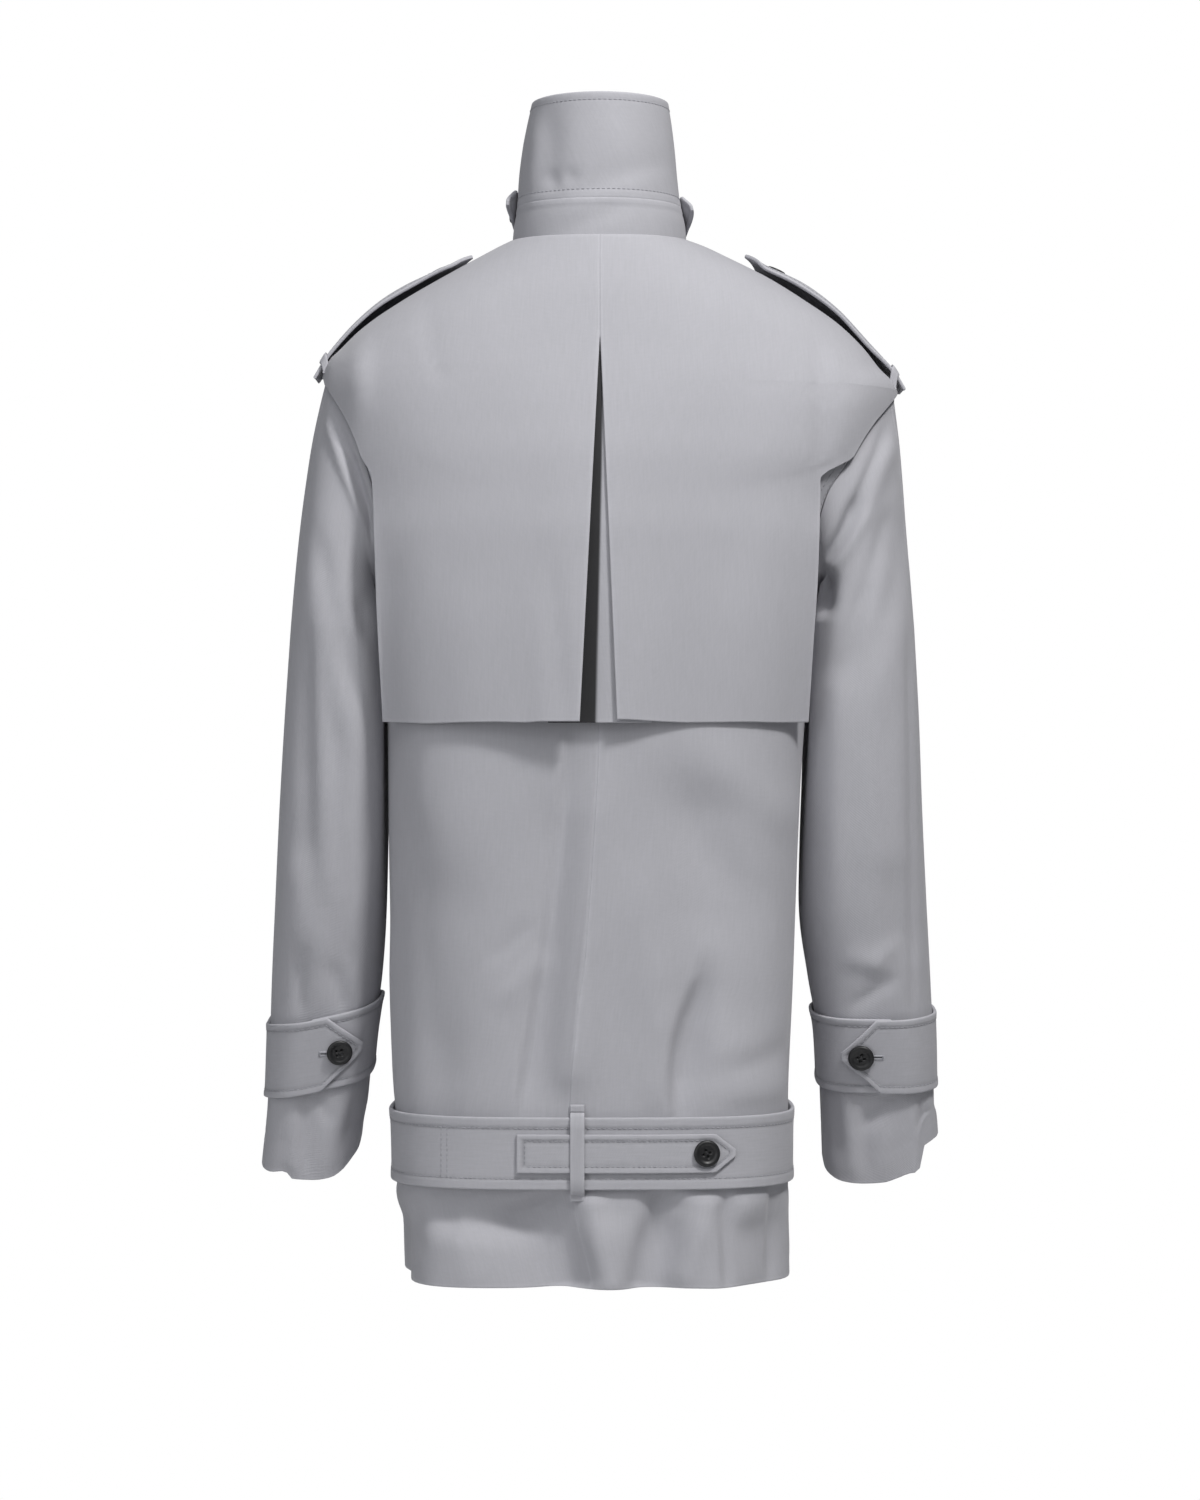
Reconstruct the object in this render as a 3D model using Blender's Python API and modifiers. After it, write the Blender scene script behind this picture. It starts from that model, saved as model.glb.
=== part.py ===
"""Cropped trench coat, hollow, in the shape it has when worn and buttoned up.

Frame: +Z up, +X towards the wearer's left, the coat's back faces +Y. The origin is at the
centre of the neck, level with the neck seam at the back. Sizes below are in millimetres.

Every surface is a function of named coordinates, read from the short tables below:
  body    turn (degrees round from the centre back, + to the wearer's left) and height
  collar  turn and height above the neck seam
  sleeve  around (0 outer side, 90 back, 180 against the body) and down (0 armhole, 2 hem)
Pieces that lie on a surface are made from its points, moved out along its normal.
"""

import math

import bmesh
import bpy
import numpy as np
from mathutils import Matrix, Vector

MM = 0.001

# Cloth and seams
CLOTH = 1.6            # one layer of coat cloth
DOUBLED = 2.2          # a turned and stitched strap
COLLAR_CLOTH = 2.0
SEAM = 0.3             # gap between neighbouring pieces
SEAM_GAP = 0.4         # the same where two coarse edges meet on a curve
LEFT, RIGHT = 1, -1

# Heights
HEM = -823
ARMPIT = -290
CAPE_HEM = -385
PLEAT_TOP = -84
BELT_TOP, BELT_BOTTOM = -691, -747
TAB_TOP, TAB_BOTTOM = -704, -734
NECK = -3              # the neck seam at the back
STAND_HEIGHT = 31
COLLAR_HEIGHT = 115
NECK_DROP = 66         # how much lower the neck seam is at the front
NECK_DROP_ENDS = -230  # height where that drop has died out

# Armholes: an upright oval, seen from the side
SHOULDER_TIP = {LEFT: -108, RIGHT: -121}
ARMHOLE_DEPTH = {"back": 76, "front": 70}

# Fronts
OVERLAP_LIFT = CLOTH + 0.5
UNDER_EDGE = 60        # how far the under front passes the centre
BUTTON_ROWS = (-165, -300, -435, -570)
BUTTON_COLUMN = 56

# Buttons
BUTTON_RADIUS = 10.4
BUTTON_HEIGHT = 3.6
SMALL_BUTTON_RADIUS = 8
SMALL_BUTTON_HEIGHT = 2.6
BUTTON_SIDES = 12


def table(names, *rows):
    """A short table with named columns; its first column is the key, in rising order."""
    return dict(zip(names.split(), np.array(rows, float).T))


def read(rows, column, at):
    """A column at any value of the key, on a smooth curve that doesn't overshoot its rows."""
    keys = next(iter(rows.values()))
    values = rows[column]
    steps = np.diff(keys)
    slopes = np.diff(values) / steps
    product = slopes[:-1] * slopes[1:]
    total = np.where(product > 0, slopes[:-1] + slopes[1:], 1)
    inner = np.where(product > 0, 2 * product / total, 0)
    tangents = np.concatenate([slopes[:1], inner, slopes[-1:]])
    at = np.clip(at, keys[0], keys[-1])
    span = np.clip(np.searchsorted(keys, at) - 1, 0, len(steps) - 1)
    t = (at - keys[span]) / steps[span]
    rise = values[span + 1] - values[span]
    start = tangents[span] * steps[span]
    end = tangents[span + 1] * steps[span]
    curved = t * t * (3 * rise - 2 * start - end) + t**3 * (start + end - 2 * rise)
    return values[span] + t * start + curved


def ramp(value, start, end):
    """0 up to start and 1 from end, smooth between them."""
    t = np.clip((value - start) / (end - start), 0, 1)
    return t * t * (3 - 2 * t)


def unit(vectors):
    return vectors / np.linalg.norm(vectors, axis=-1, keepdims=True)


# ---------------------------------------------------------------- body

BODY = table(
    "height left right back front square",
    (-823, 160, 151, 122, 130, 3.8),
    (-747, 162, 150, 118, 127, 3.4),
    (-691, 163.5, 150.5, 117, 126, 3.3),
    (-600, 166.5, 154, 117, 127, 3.2),
    (-500, 168.5, 158, 119, 129, 3.1),
    (-385, 170, 164, 124, 132, 3.0),
    (-290, 174, 170, 128, 132, 2.8),
    (-240, 189, 185, 128, 129, 2.65),
    (-208, 199, 200, 126, 124, 2.6),
    (-180, 209, 219, 124, 120, 2.55),
    (-150, 216, 229, 119, 113, 2.5),
    (-121, 220, 235, 113, 106, 2.45),
    (-104, 218, 221, 108, 101, 2.4),
    (-86, 203, 207, 103, 96, 2.35),
    (-69, 184, 189, 98, 93, 2.3),
    (-50, 156, 162, 92, 90, 2.2),
    (-33, 127, 135, 85, 87, 2.1),
    (-16, 96, 101, 77, 84, 2.05),
    (-8, 81, 84, 73, 83, 2.0),
    (NECK, 70.5, 69.5, 70, 82, 2.0),
)

# The largest folds of the body, each a soft ridge (or, where height is negative, a trough)
# down the ring: where it starts and ends, how wide it is, and how far it stands out.
BODY_FOLDS = table(
    "turn_top turn_bottom top bottom width height",
    (3, 13, -400, -700, 9, 6),          # ridge down from the pleat, beside the centre seam
    (17, 25, -420, -690, 7, -3),        # the hollow along its shaded side
    (-36, -38, -400, -590, 14, -6),     # broad hollow
    (-30, -32, -540, -690, 7, -5),      # crease above the belt
    (-46, -47, -600, -690, 8, 4),
    (46, 48, -480, -690, 8, -4),
    (118, 114, -420, -690, 10, -5),     # hidden front
    (-122, -118, -400, -690, 10, -5),
    (30, 15, -747, -880, 9, -7),        # below the belt
    (-3, -4, -747, -880, 10, 6),
    (-25, -19, -747, -880, 8, -7),
    (-36, -38, -747, -880, 7, 6),
    (-53, -54, -747, -880, 11, -11),
    (50, 46, -747, -880, 8, 3),
    (76, 76, -747, -880, 15, -11),
    (112, 108, -747, -880, 10, -4),
    (-105, -110, -747, -880, 10, -6),
)


def body_folds(turn, height):
    """How far the folds move the body's cloth out; they vanish where the belt holds it."""
    out = np.zeros(np.broadcast(turn, height).shape)
    for top_turn, low_turn, top, bottom, width, size in zip(*BODY_FOLDS.values()):
        along = np.clip((height - top) / (bottom - top), 0, 1)
        aside = (turn - (top_turn + (low_turn - top_turn) * along) + 180) % 360 - 180
        grown = ramp(height, bottom, bottom + 60) * ramp(-height, -top, -top + 60)
        if top < BELT_TOP:
            grown = ramp(-height, -top, -top + 45)
        out = out + size * grown * np.exp(-((aside / width) ** 2))
    return out * ramp(abs(height - (BELT_TOP + BELT_BOTTOM) / 2), 32, 62)


# The centre back seam leans to the left on its way down, where the cloth is dragged
CENTRE_SEAM = table(
    "height turn",
    (HEM, 3),
    (BELT_BOTTOM, 10),
    (BELT_TOP, 11.3),
    (-616, 8.2),
    (-560, 5),
    (CAPE_HEM, 0.3),
    (-300, 0),
)


def ring_sizes(turn, height):
    """Half width and half depth of the body's ring, on the side that a turn is on."""
    angle = np.radians(turn)
    across = np.where(np.sin(angle) >= 0, read(BODY, "left", height), read(BODY, "right", height))
    deep = np.where(np.cos(angle) >= 0, read(BODY, "back", height), read(BODY, "front", height))
    return across, deep


def drop_at_front(turn, height):
    """The rings dip at the front, so that the neck seam is lower there than at the back."""
    faded = np.clip((height - NECK_DROP_ENDS) / (NECK - NECK_DROP_ENDS), 0, 1) ** 2
    return NECK_DROP * faded * np.clip(-np.cos(np.radians(turn)), 0, 1) ** 2


def body_point(turn, height):
    turn, height = np.broadcast_arrays(np.asarray(turn, float), np.asarray(height, float))
    angle = np.radians(turn)
    across, deep = ring_sizes(turn, height)
    square = read(BODY, "square", height)
    bare = (abs(np.sin(angle) / across) ** square + abs(np.cos(angle) / deep) ** square) ** (-1 / square)
    radius = bare + body_folds(turn, height)
    z = height - drop_at_front(turn, height)
    return np.stack([radius * np.sin(angle), radius * np.cos(angle), z], -1)


def body_side(side, y, height):
    """How far out the body's ring reaches on one side, at a given depth."""
    across = read(BODY, "left" if side == LEFT else "right", height)
    deep = np.where(y > 0, read(BODY, "back", height), read(BODY, "front", height))
    square = read(BODY, "square", height)
    inside = np.clip(1 - (abs(y) / deep) ** square, 0, None)
    bare = across * inside ** (1 / square)
    turn = side * np.degrees(np.arctan2(bare, y))
    return bare + np.clip(body_folds(turn, height), 0, None)


def turn_at(side, x, height):
    """The turn at which the back of the ring is x millimetres out."""
    across = read(BODY, "left" if side == LEFT else "right", height)
    square = read(BODY, "square", height)
    y = read(BODY, "back", height) * np.clip(1 - (abs(x) / across) ** square, 0, None) ** (1 / square)
    return np.degrees(np.arctan2(x, y))


def normal_of(surface, first, second, step=0.5, facing=1):
    """The unit normal of a surface given by two coordinates, from its slopes."""
    across = surface(first + step, second) - surface(first - step, second)
    along = surface(first, second + step) - surface(first, second - step)
    return facing * unit(np.cross(along, across))


def body_normal(turn, height):
    return normal_of(body_point, np.asarray(turn, float), np.clip(height, HEM + 1, NECK - 0.6))


def on_body(turn, height, lift):
    return body_point(turn, height) + body_normal(turn, height) * np.asarray(lift)[..., None]


# ---------------------------------------------------------------- making solids


def finish(name, colour, roughness):
    """A plain material; the collection's pieces differ only in a few of them."""
    material = bpy.data.materials.new(name)
    material.use_nodes = True
    shader = material.node_tree.nodes["Principled BSDF"]
    shader.inputs["Base Color"].default_value = (*colour, 1)
    shader.inputs["Roughness"].default_value = roughness
    shader.inputs["Metallic"].default_value = 0
    return material


def add_object(name, mesh, material, collection):
    mesh.materials.append(material)
    mesh.shade_smooth()
    mesh.set_sharp_from_angle(angle=math.radians(50))
    piece = bpy.data.objects.new(name, mesh)
    collection.objects.link(piece)
    return piece


def wall(name, outer, inner, material, collection):
    """A closed wall of cloth between two grids of points: both faces and the rim round them.

    Both grids come from the same surface, so that neighbouring pieces share their normals
    at a seam and their rims stay parallel there.
    """
    shape = bmesh.new()
    faces = []
    for grid in (outer, inner):
        faces.append([[shape.verts.new(Vector(point) * MM) for point in row] for row in grid])
    rows, columns = len(outer), len(outer[0])
    for grid, order in ((faces[0], 1), (faces[1], -1)):
        for i in range(rows - 1):
            for j in range(columns - 1):
                ring = (grid[i][j], grid[i][j + 1], grid[i + 1][j + 1], grid[i + 1][j])
                shape.faces.new(ring[::order])
    rim = [(0, j) for j in range(columns)]
    rim += [(i, columns - 1) for i in range(1, rows)]
    rim += [(rows - 1, j) for j in range(columns - 2, -1, -1)]
    rim += [(i, 0) for i in range(rows - 2, 0, -1)]
    for (i, j), (k, m) in zip(rim, rim[1:] + rim[:1]):
        shape.faces.new((faces[0][k][m], faces[0][i][j], faces[1][i][j], faces[1][k][m]))
    bmesh.ops.recalc_face_normals(shape, faces=shape.faces)
    bmesh.ops.triangulate(shape, faces=shape.faces, quad_method="BEAUTY")
    mesh = bpy.data.meshes.new(name)
    shape.to_mesh(mesh)
    shape.free()
    return add_object(name, mesh, material, collection)


def button(name, place, facing, radius, height, material, collection):
    """A dished, round-edged button, turned on a Screw modifier and laid flat on its cloth."""
    profile = (
        (0, 0.68 * height),
        (0.6 * radius, 0.68 * height),
        (0.8 * radius, height),
        (radius, 0.62 * height),
        (0.9 * radius, 0),
        (0, 0),
    )
    mesh = bpy.data.meshes.new(name)
    corners = [(x * MM, 0, z * MM) for x, z in profile]
    mesh.from_pydata(corners, [(i, i + 1) for i in range(len(corners) - 1)], [])
    piece = bpy.data.objects.new(name, mesh)
    collection.objects.link(piece)
    mesh.materials.append(material)
    turned = piece.modifiers.new("turned", "SCREW")
    turned.axis = "Z"
    turned.steps = BUTTON_SIDES
    turned.render_steps = BUTTON_SIDES
    turned.use_merge_vertices = True
    turned.merge_threshold = 1e-5
    turned.use_normal_calculate = True
    turn = Vector(facing).to_track_quat("Z", "Y").to_matrix().to_4x4()
    piece.matrix_world = Matrix.Translation(Vector(place) * MM) @ turn
    return piece


def grid_of(first, second):
    """Two coordinates as a grid: a row for each value of the second, a column for the first."""
    return np.meshgrid(np.asarray(first, float), np.asarray(second, float))


def strap(name, surface, first, second, thick, material, collection, facing=1, step=0.4):
    """A wall of a given thickness that stands on a surface of two coordinates."""
    normal = normal_of(surface, first, second, step, facing)
    inner = surface(first, second)
    return wall(name, inner + normal * thick, inner, material, collection)


# ---------------------------------------------------------------- back, fronts and sleeves

LOWER_ROWS = (HEM, -790, -757, -687, -642, -585, -525, -460, -395, -338)
SHOULDER_ROWS = (-97, -92, -86, -79, -71, -62, -48, -28, -12, NECK)
ARMHOLE_STEPS = 8
BACK_COLUMNS = 10
FRONT_COLUMNS = 12


def armhole_heights(side):
    """Heights at even steps round the armhole's oval, from the armpit to the shoulder."""
    tip = SHOULDER_TIP[side]
    steps = np.arange(ARMHOLE_STEPS + 1) * math.pi / ARMHOLE_STEPS
    return (tip + ARMPIT) / 2 - (tip - ARMPIT) / 2 * np.cos(steps)


def body_heights(side):
    shoulder = [row for row in SHOULDER_ROWS if row > SHOULDER_TIP[side] + 9]
    return np.concatenate([LOWER_ROWS, armhole_heights(side), shoulder])


def edge_turn(side, height, depth_name):
    """Where a panel ends: at the side seam, the armhole's edge or the shoulder seam."""
    tip = SHOULDER_TIP[side]
    level = np.clip((height - (tip + ARMPIT) / 2) / ((tip - ARMPIT) / 2), -1, 1)
    y = ARMHOLE_DEPTH[depth_name] * np.sqrt(1 - level**2)
    if depth_name == "front":
        y = -y
    x = body_side(LEFT if side == LEFT else RIGHT, y, height)
    turn = np.degrees(np.arctan2(x, y))
    seam = np.degrees(SEAM / 2 / x)
    return turn - seam if depth_name == "back" else turn + seam


def even_turns(share, start, end, height):
    """Turns between two edges, closer together where the ring bends most, near the shoulder."""
    flat = read(BODY, "left", height) / read(BODY, "back", height)
    first, last = (np.arctan2(np.sin(np.radians(a)) / flat, np.cos(np.radians(a))) for a in (start, end))
    middle = first + (last - first) * share
    return np.degrees(np.arctan2(flat * np.sin(middle), np.cos(middle)))


def back_panel(name, side, material, collection):
    heights = body_heights(side)
    gap = math.degrees(SEAM / 2 / 115)
    share, height = grid_of(np.linspace(0, 1, BACK_COLUMNS + 1), heights)
    edge = edge_turn(side, height, "back")
    seam = side * read(CENTRE_SEAM, "turn", height) + gap
    turn = side * even_turns(share, seam, edge, height)
    outer = body_point(turn, height)
    return wall(name, outer, outer - body_normal(turn, height) * CLOTH, material, collection)


def over_edge(height):
    """How far the over front passes the centre: less at the neck, where it is folded closed."""
    return 30 + 48 * ramp(-height, 20, 150)


def front_panel(name, side, material, collection):
    heights = body_heights(side)
    share, height = grid_of(np.linspace(0, 1, FRONT_COLUMNS + 1), heights)
    edge = edge_turn(side, height, "front")
    reach = UNDER_EDGE - 30 * ramp(height, -150, -20) if side == LEFT else over_edge(height)
    depth = read(BODY, "front", height)
    last = 180 + np.degrees(np.arctan2(reach, depth))
    turn = side * (edge + (last - edge) * share)
    normal = body_normal(turn, height)
    lift = 0
    if side == RIGHT:
        lift = OVERLAP_LIFT * ramp(abs(turn), 132, 150)
    outer = body_point(turn, height) + normal * np.asarray(lift)[..., None]
    return wall(name, outer, outer - normal * CLOTH, material, collection)


SLEEVE_ROWS = "down outer inner middle deep tilt square"
SLEEVE = {
    LEFT: table(
        SLEEVE_ROWS,
        (310, 247.5, 160, 0, 72, 0, 2.3),
        (380, 252.5, 158, -2, 70, 1, 2.3),
        (450, 257, 162, -6, 66, 3, 2.3),
        (520, 261, 168, -14, 61, 7, 2.3),
        (590, 265, 175.5, -27, 56, 10, 2.5),
        (640, 267, 183.5, -37, 53, 11, 3.0),
        (690, 269.5, 189, -47, 51, 11, 3.4),
        (742, 275, 195, -57, 50, 11, 3.8),
    ),
    RIGHT: table(
        SLEEVE_ROWS,
        (310, 251.5, 156, 0, 72, 0, 2.3),
        (380, 255.5, 154, -2, 70, 1, 2.3),
        (450, 258.5, 154, -6, 66, 3, 2.3),
        (520, 262.5, 156, -14, 61, 7, 2.3),
        (590, 267, 167.5, -27, 56, 10, 2.5),
        (640, 269.5, 176.5, -37, 53, 11, 3.0),
        (690, 271, 179.5, -47, 51, 11, 3.4),
        (742, 275, 182, -57, 50, 11, 3.8),
    ),
}
SHOULDER_SWELL = {LEFT: 0.25, RIGHT: 0.12}   # how far the sleeve heads swell outwards
TUBE_TOP, SLEEVE_HEM = 310, 742
HIND_SEAM, INNER_SEAM = 22.5, 225
CAP_ROWS = (0, 0.12, 0.3, 0.52, 0.76)
TUBE_ROWS = 10

# The largest folds of the sleeves. A trough or ridge runs from one place to another:
# around (degrees) and down (millimetres below the neck) at both ends.
SLEEVE_FOLD_COLUMNS = "around_top around_low top low width height"
SLEEVE_FOLDS = {
    LEFT: table(
        SLEEVE_FOLD_COLUMNS,
        (70, 120, 175, 300, 20, -5),     # drag line below the armhole
        (48, 75, 170, 330, 16, 4),
        (80, 75, 300, 430, 22, -4),
        (60, 70, 490, 570, 20, 4),
        (-60, -100, 230, 330, 22, -5),   # hidden front
        (-80, -90, 420, 560, 24, -4),
    ),
    RIGHT: table(
        SLEEVE_FOLD_COLUMNS,
        (35, 120, 150, 260, 18, 4),
        (60, 130, 190, 310, 18, -5),
        (40, 110, 230, 360, 20, -5),
        (70, 60, 500, 570, 20, -3),
        (-60, -100, 230, 330, 22, -5),   # hidden front
        (-80, -90, 420, 560, 24, -4),
    ),
}


def armhole_point(side, around):
    """A point of the armhole's edge: around is 0 at the shoulder and 180 at the armpit."""
    angle = np.radians(around)
    tip = SHOULDER_TIP[side]
    height = (tip + ARMPIT) / 2 + (tip - ARMPIT) / 2 * np.cos(angle)
    deep = np.where(np.sin(angle) >= 0, ARMHOLE_DEPTH["back"], ARMHOLE_DEPTH["front"])
    y = deep * np.sin(angle)
    turn = side * np.degrees(np.arctan2(body_side(side, y, height), y))
    return body_point(turn, height), body_normal(turn, height)


def tube_point(side, around, down):
    """A point of the sleeve below the armpit, on a ring that tilts with the forearm."""
    rows = SLEEVE[side]
    outer, inner = read(rows, "outer", down), read(rows, "inner", down)
    angle = np.radians(around)
    half, deep = (outer - inner) / 2, read(rows, "deep", down)
    square = read(rows, "square", down)
    radius = (abs(np.cos(angle) / half) ** square + abs(np.sin(angle) / deep) ** square) ** (-1 / square)
    back = radius * np.sin(angle)
    tilt = np.radians(read(rows, "tilt", down))
    x = (outer + inner) / 2 + radius * np.cos(angle)
    y = read(rows, "middle", down) + back * np.cos(tilt)
    return np.stack([side * x, y, -down - back * np.sin(tilt)], -1)


def off_seam(side, around):
    """The direction that leads from a panel's edge into the armhole, along the body's surface."""
    before, _ = armhole_point(side, around - 1)
    after, _ = armhole_point(side, around + 1)
    _, normal = armhole_point(side, around)
    return unit(side * np.cross(after - before, normal))


def sleeve_folds(side, around, z):
    rows = SLEEVE_FOLDS[side]
    out = np.zeros(np.broadcast(around, z).shape)
    for around_top, around_low, top, low, width, size in zip(*rows.values()):
        along = np.clip((-z - top) / (low - top), -0.3, 1.3)
        aside = (around - (around_top + (around_low - around_top) * along) + 180) % 360 - 180
        fade = np.exp(-((2 * along - 1) ** 4))
        out = out + size * fade * np.exp(-((aside / width) ** 2))
    return out


def sleeve_point(side, around, down):
    """down: 0 at the armhole, 1 at the top of the tube below the armpit, 2 at the hem."""
    around, down = np.broadcast_arrays(np.asarray(around, float), np.asarray(down, float))
    start, _ = armhole_point(side, around)
    top = tube_point(side, around, np.full(around.shape, float(TUBE_TOP)))
    length = np.linalg.norm(top - start, axis=-1)[..., None]
    under = (1 - np.cos(np.radians(around))) / 2
    none = np.zeros(around.shape)
    leaving = np.stack([side * (SHOULDER_SWELL[side] + 0.5 * under), none, -1 + 0.4 * under], -1) * length
    arriving = np.stack([side * (0.08 + none), none, -1 + none], -1) * length
    t = np.clip(down, 0, 1)[..., None]
    rise = top - start
    cap = start + t * leaving + t**2 * (3 * rise - 2 * leaving - arriving)
    cap = cap + t**3 * (leaving + arriving - 2 * rise)
    tube = tube_point(side, around, TUBE_TOP + (SLEEVE_HEM - TUBE_TOP) * np.clip(down - 1, 0, 1))
    point = np.where(down[..., None] < 1, cap, tube)
    angle = np.radians(around)
    folds = sleeve_folds(side, around, point[..., 2]) * ramp(down, 0, 0.25)
    point = point + np.stack([side * np.cos(angle), np.sin(angle), none], -1) * folds[..., None]
    clear = 2.0 * ramp(down, 0, 0.2)
    body = body_side(side, point[..., 1], point[..., 2]) + clear
    x = side * point[..., 0]
    soft = 6 * ramp(down, 0, 0.3)
    x = (x + body + np.sqrt((x - body) ** 2 + soft**2)) / 2
    point = np.stack([side * x, point[..., 1], point[..., 2]], -1)
    return point + off_seam(side, around) * (SEAM_GAP * (1 - ramp(down, 0, 0.1)))[..., None]


def sleeve_normal(side, around, down):
    """The sleeve's normal; at the shoulder seam it leans to the body's, so the rims match."""
    step = 0.004
    low, high = np.clip(down - step, 0, 2), np.clip(down + step, 0, 2)
    along = sleeve_point(side, around, high) - sleeve_point(side, around, low)
    across = sleeve_point(side, around + 0.5, down) - sleeve_point(side, around - 0.5, down)
    normal = unit(np.cross(along, across)) * side
    _, on_seam = armhole_point(side, around)
    share = ramp(np.cos(np.radians(around)), -0.25, 0.5) * (1 - ramp(down, 0, 0.1))
    return unit(normal * (1 - share[..., None]) + on_seam * share[..., None])


def on_sleeve(side, around, down, lift):
    point = sleeve_point(side, around, down)
    return point + sleeve_normal(side, around, down) * np.asarray(lift)[..., None]


def sleeve_panel(name, side, start, end, material, collection):
    """A sleeve piece between two seams, from the armhole to the hem."""
    count = round((end - start) / (180 / ARMHOLE_STEPS))
    columns = np.linspace(start, end, count + 1)
    columns[0] += 0.25
    columns[-1] -= 0.25
    rows = np.concatenate([CAP_ROWS, 1 + np.arange(TUBE_ROWS + 1) / TUBE_ROWS])
    around, down = grid_of(columns, rows)
    outer = sleeve_point(side, around, down)
    inner = outer - sleeve_normal(side, around, down) * CLOTH
    return wall(name, outer, inner, material, collection)


# ---------------------------------------------------------------- cape

CAPE_LIFT = CLOTH + 0.5
CAPE_FREE = (-110, -132, -165, -205, -250, -295, -340, CAPE_HEM)
CAPE_HEIGHTS = (NECK - 0.7, -12, -28, -48, -62, -71, -79, -86, -87.5, -89, -90.5, -92, -97) + CAPE_FREE
CAPE_COLUMNS = 10
CAPE_EDGE = {
    LEFT: table(
        "height x",
        (-385, 168),
        (-320, 171),
        (-255, 173.5),
        (-207, 175.5),
        (-161, 180),
        (-118, 185),
        (-98, 190.5),
        (-92, 195),
        (-86, 205),
    ),
    RIGHT: table(
        "height x",
        (-385, 161),
        (-320, 164.5),
        (-273, 167.5),
        (-194, 170.5),
        (-114, 172.5),
        (-90, 176),
        (-78, 181),
        (-71, 190),
        (-66, 200),
    ),
}
PLEAT_EDGE = {LEFT: 15.5, RIGHT: 13}
UNDERLAY_CLOTH = 1.1


def cape_edge(side, height):
    """The turn of the cape's outer edge: on the shoulder seam, then free down the back."""
    across = read(BODY, "left" if side == LEFT else "right", height)
    x = np.minimum(read(CAPE_EDGE[side], "x", height), across)
    top = next(reversed(CAPE_EDGE[side]["height"].tolist()))
    x = np.where(height >= top, across, x)
    return np.degrees(SEAM / 2 / across) * -1 + turn_at(LEFT if side == LEFT else RIGHT, x, height)


def cape_point(side, turn, height, lift=0.0):
    """The cape rests on the shoulders and hangs flat from them, clear of the sides."""
    point = on_body(side * turn, height, CAPE_LIFT + np.asarray(lift) + 0 * turn)
    hangs = ramp(-height, 120, 255)
    x = abs(point[..., 0])
    flat = read(BODY, "back", height) + CAPE_LIFT - 34 * (x / 172) ** 2.6
    away = np.clip(flat - point[..., 1], 0, None) * hangs
    away = away + (10 + 5 * np.exp(-((x / 45) ** 2))) * ramp(-height, 100, 400)
    return point + np.stack([0 * away, away, 0 * away], -1)


def cape_panel(name, side, material, collection):
    share, height = grid_of(np.linspace(0, 1, CAPE_COLUMNS + 1), CAPE_HEIGHTS)
    open_by = np.clip((PLEAT_TOP - height) / (PLEAT_TOP - CAPE_HEM), 0, 1)
    inside = SEAM / 2 + PLEAT_EDGE[side] * open_by
    start = np.degrees(np.arctan2(inside, read(BODY, "back", height)))
    turn = even_turns(share, start, cape_edge(side, height), height)

    def surface(first, second):
        return cape_point(side, first, second)

    normal = normal_of(surface, turn, height, 0.5, side)
    inner = surface(turn, height)
    return wall(name, inner + normal * CLOTH, inner, material, collection)


def underlay(name, material, collection):
    """The pleat's inner piece: folded once, and lying back between the cape and the body."""
    heights = np.linspace(PLEAT_TOP - 32, CAPE_HEM - 1, 8)
    share, height = grid_of(np.linspace(-1, 1, 5), heights)
    opened = (PLEAT_TOP - height) / (PLEAT_TOP - CAPE_HEM)
    x = share * (6 + 34 * opened)
    body = body_point(turn_at(1, x, height), height)
    room = cape_point(1, turn_at(1, x, height), height)[..., 1] - body[..., 1]
    raised = 0.1 + 0.85 * ramp(-share, -0.1, 0.55)
    y = body[..., 1] + 0.6 + np.clip(room - UNDERLAY_CLOTH - 1.4, 0, None) * raised
    inner = np.stack([x, y, height], -1)
    outer = np.stack([x, y + UNDERLAY_CLOTH, height], -1)
    return wall(name, outer, inner, material, collection)


# ---------------------------------------------------------------- collar

COLLAR = table(
    "up left right back front",
    (0, 70.5, 69.5, 70, 82),
    (16, 69, 68.5, 69, 80),
    (31, 66.5, 65, 67.5, 78),
    (53, 65.3, 62.3, 66, 76),
    (78, 62.3, 60, 64.5, 74),
    (98, 58.5, 57.5, 63, 73),
    (115, 54.5, 54.7, 62, 72),
)


def collar_point(turn, up):
    turn, up = np.broadcast_arrays(np.asarray(turn, float), np.asarray(up, float))
    angle = np.radians(turn)
    across = np.where(np.sin(angle) >= 0, read(COLLAR, "left", up), read(COLLAR, "right", up))
    deep = np.where(np.cos(angle) >= 0, read(COLLAR, "back", up), read(COLLAR, "front", up))
    radius = ((np.sin(angle) / across) ** 2 + (np.cos(angle) / deep) ** 2) ** -0.5
    drop = drop_at_front(turn, NECK)
    return np.stack([radius * np.sin(angle), radius * np.cos(angle), NECK + up - drop], -1)


def collar_normal(turn, up):
    return normal_of(collar_point, np.asarray(turn, float), np.clip(up, 0.6, COLLAR_HEIGHT - 0.6))


def on_collar(turn, up, lift):
    return collar_point(turn, up) + collar_normal(turn, up) * np.asarray(lift)[..., None]


def stand_gap(up):
    return 0.3 + 0 * up


def fall_gap(up):
    return 4 + 0.2 * (up - STAND_HEIGHT)


def collar_band(name, bottom, top, gap, rows, material, collection):
    """A band of the collar; gap is how far its ends stay from the centre front, in degrees."""
    turn, up = grid_of(np.linspace(-180, 180, 41), np.linspace(bottom, top, rows))
    turn = np.clip(turn, -180 + gap(up), 180 - gap(up))
    outer = collar_point(turn, up)
    return wall(name, outer, outer - collar_normal(turn, up) * COLLAR_CLOTH, material, collection)


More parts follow.
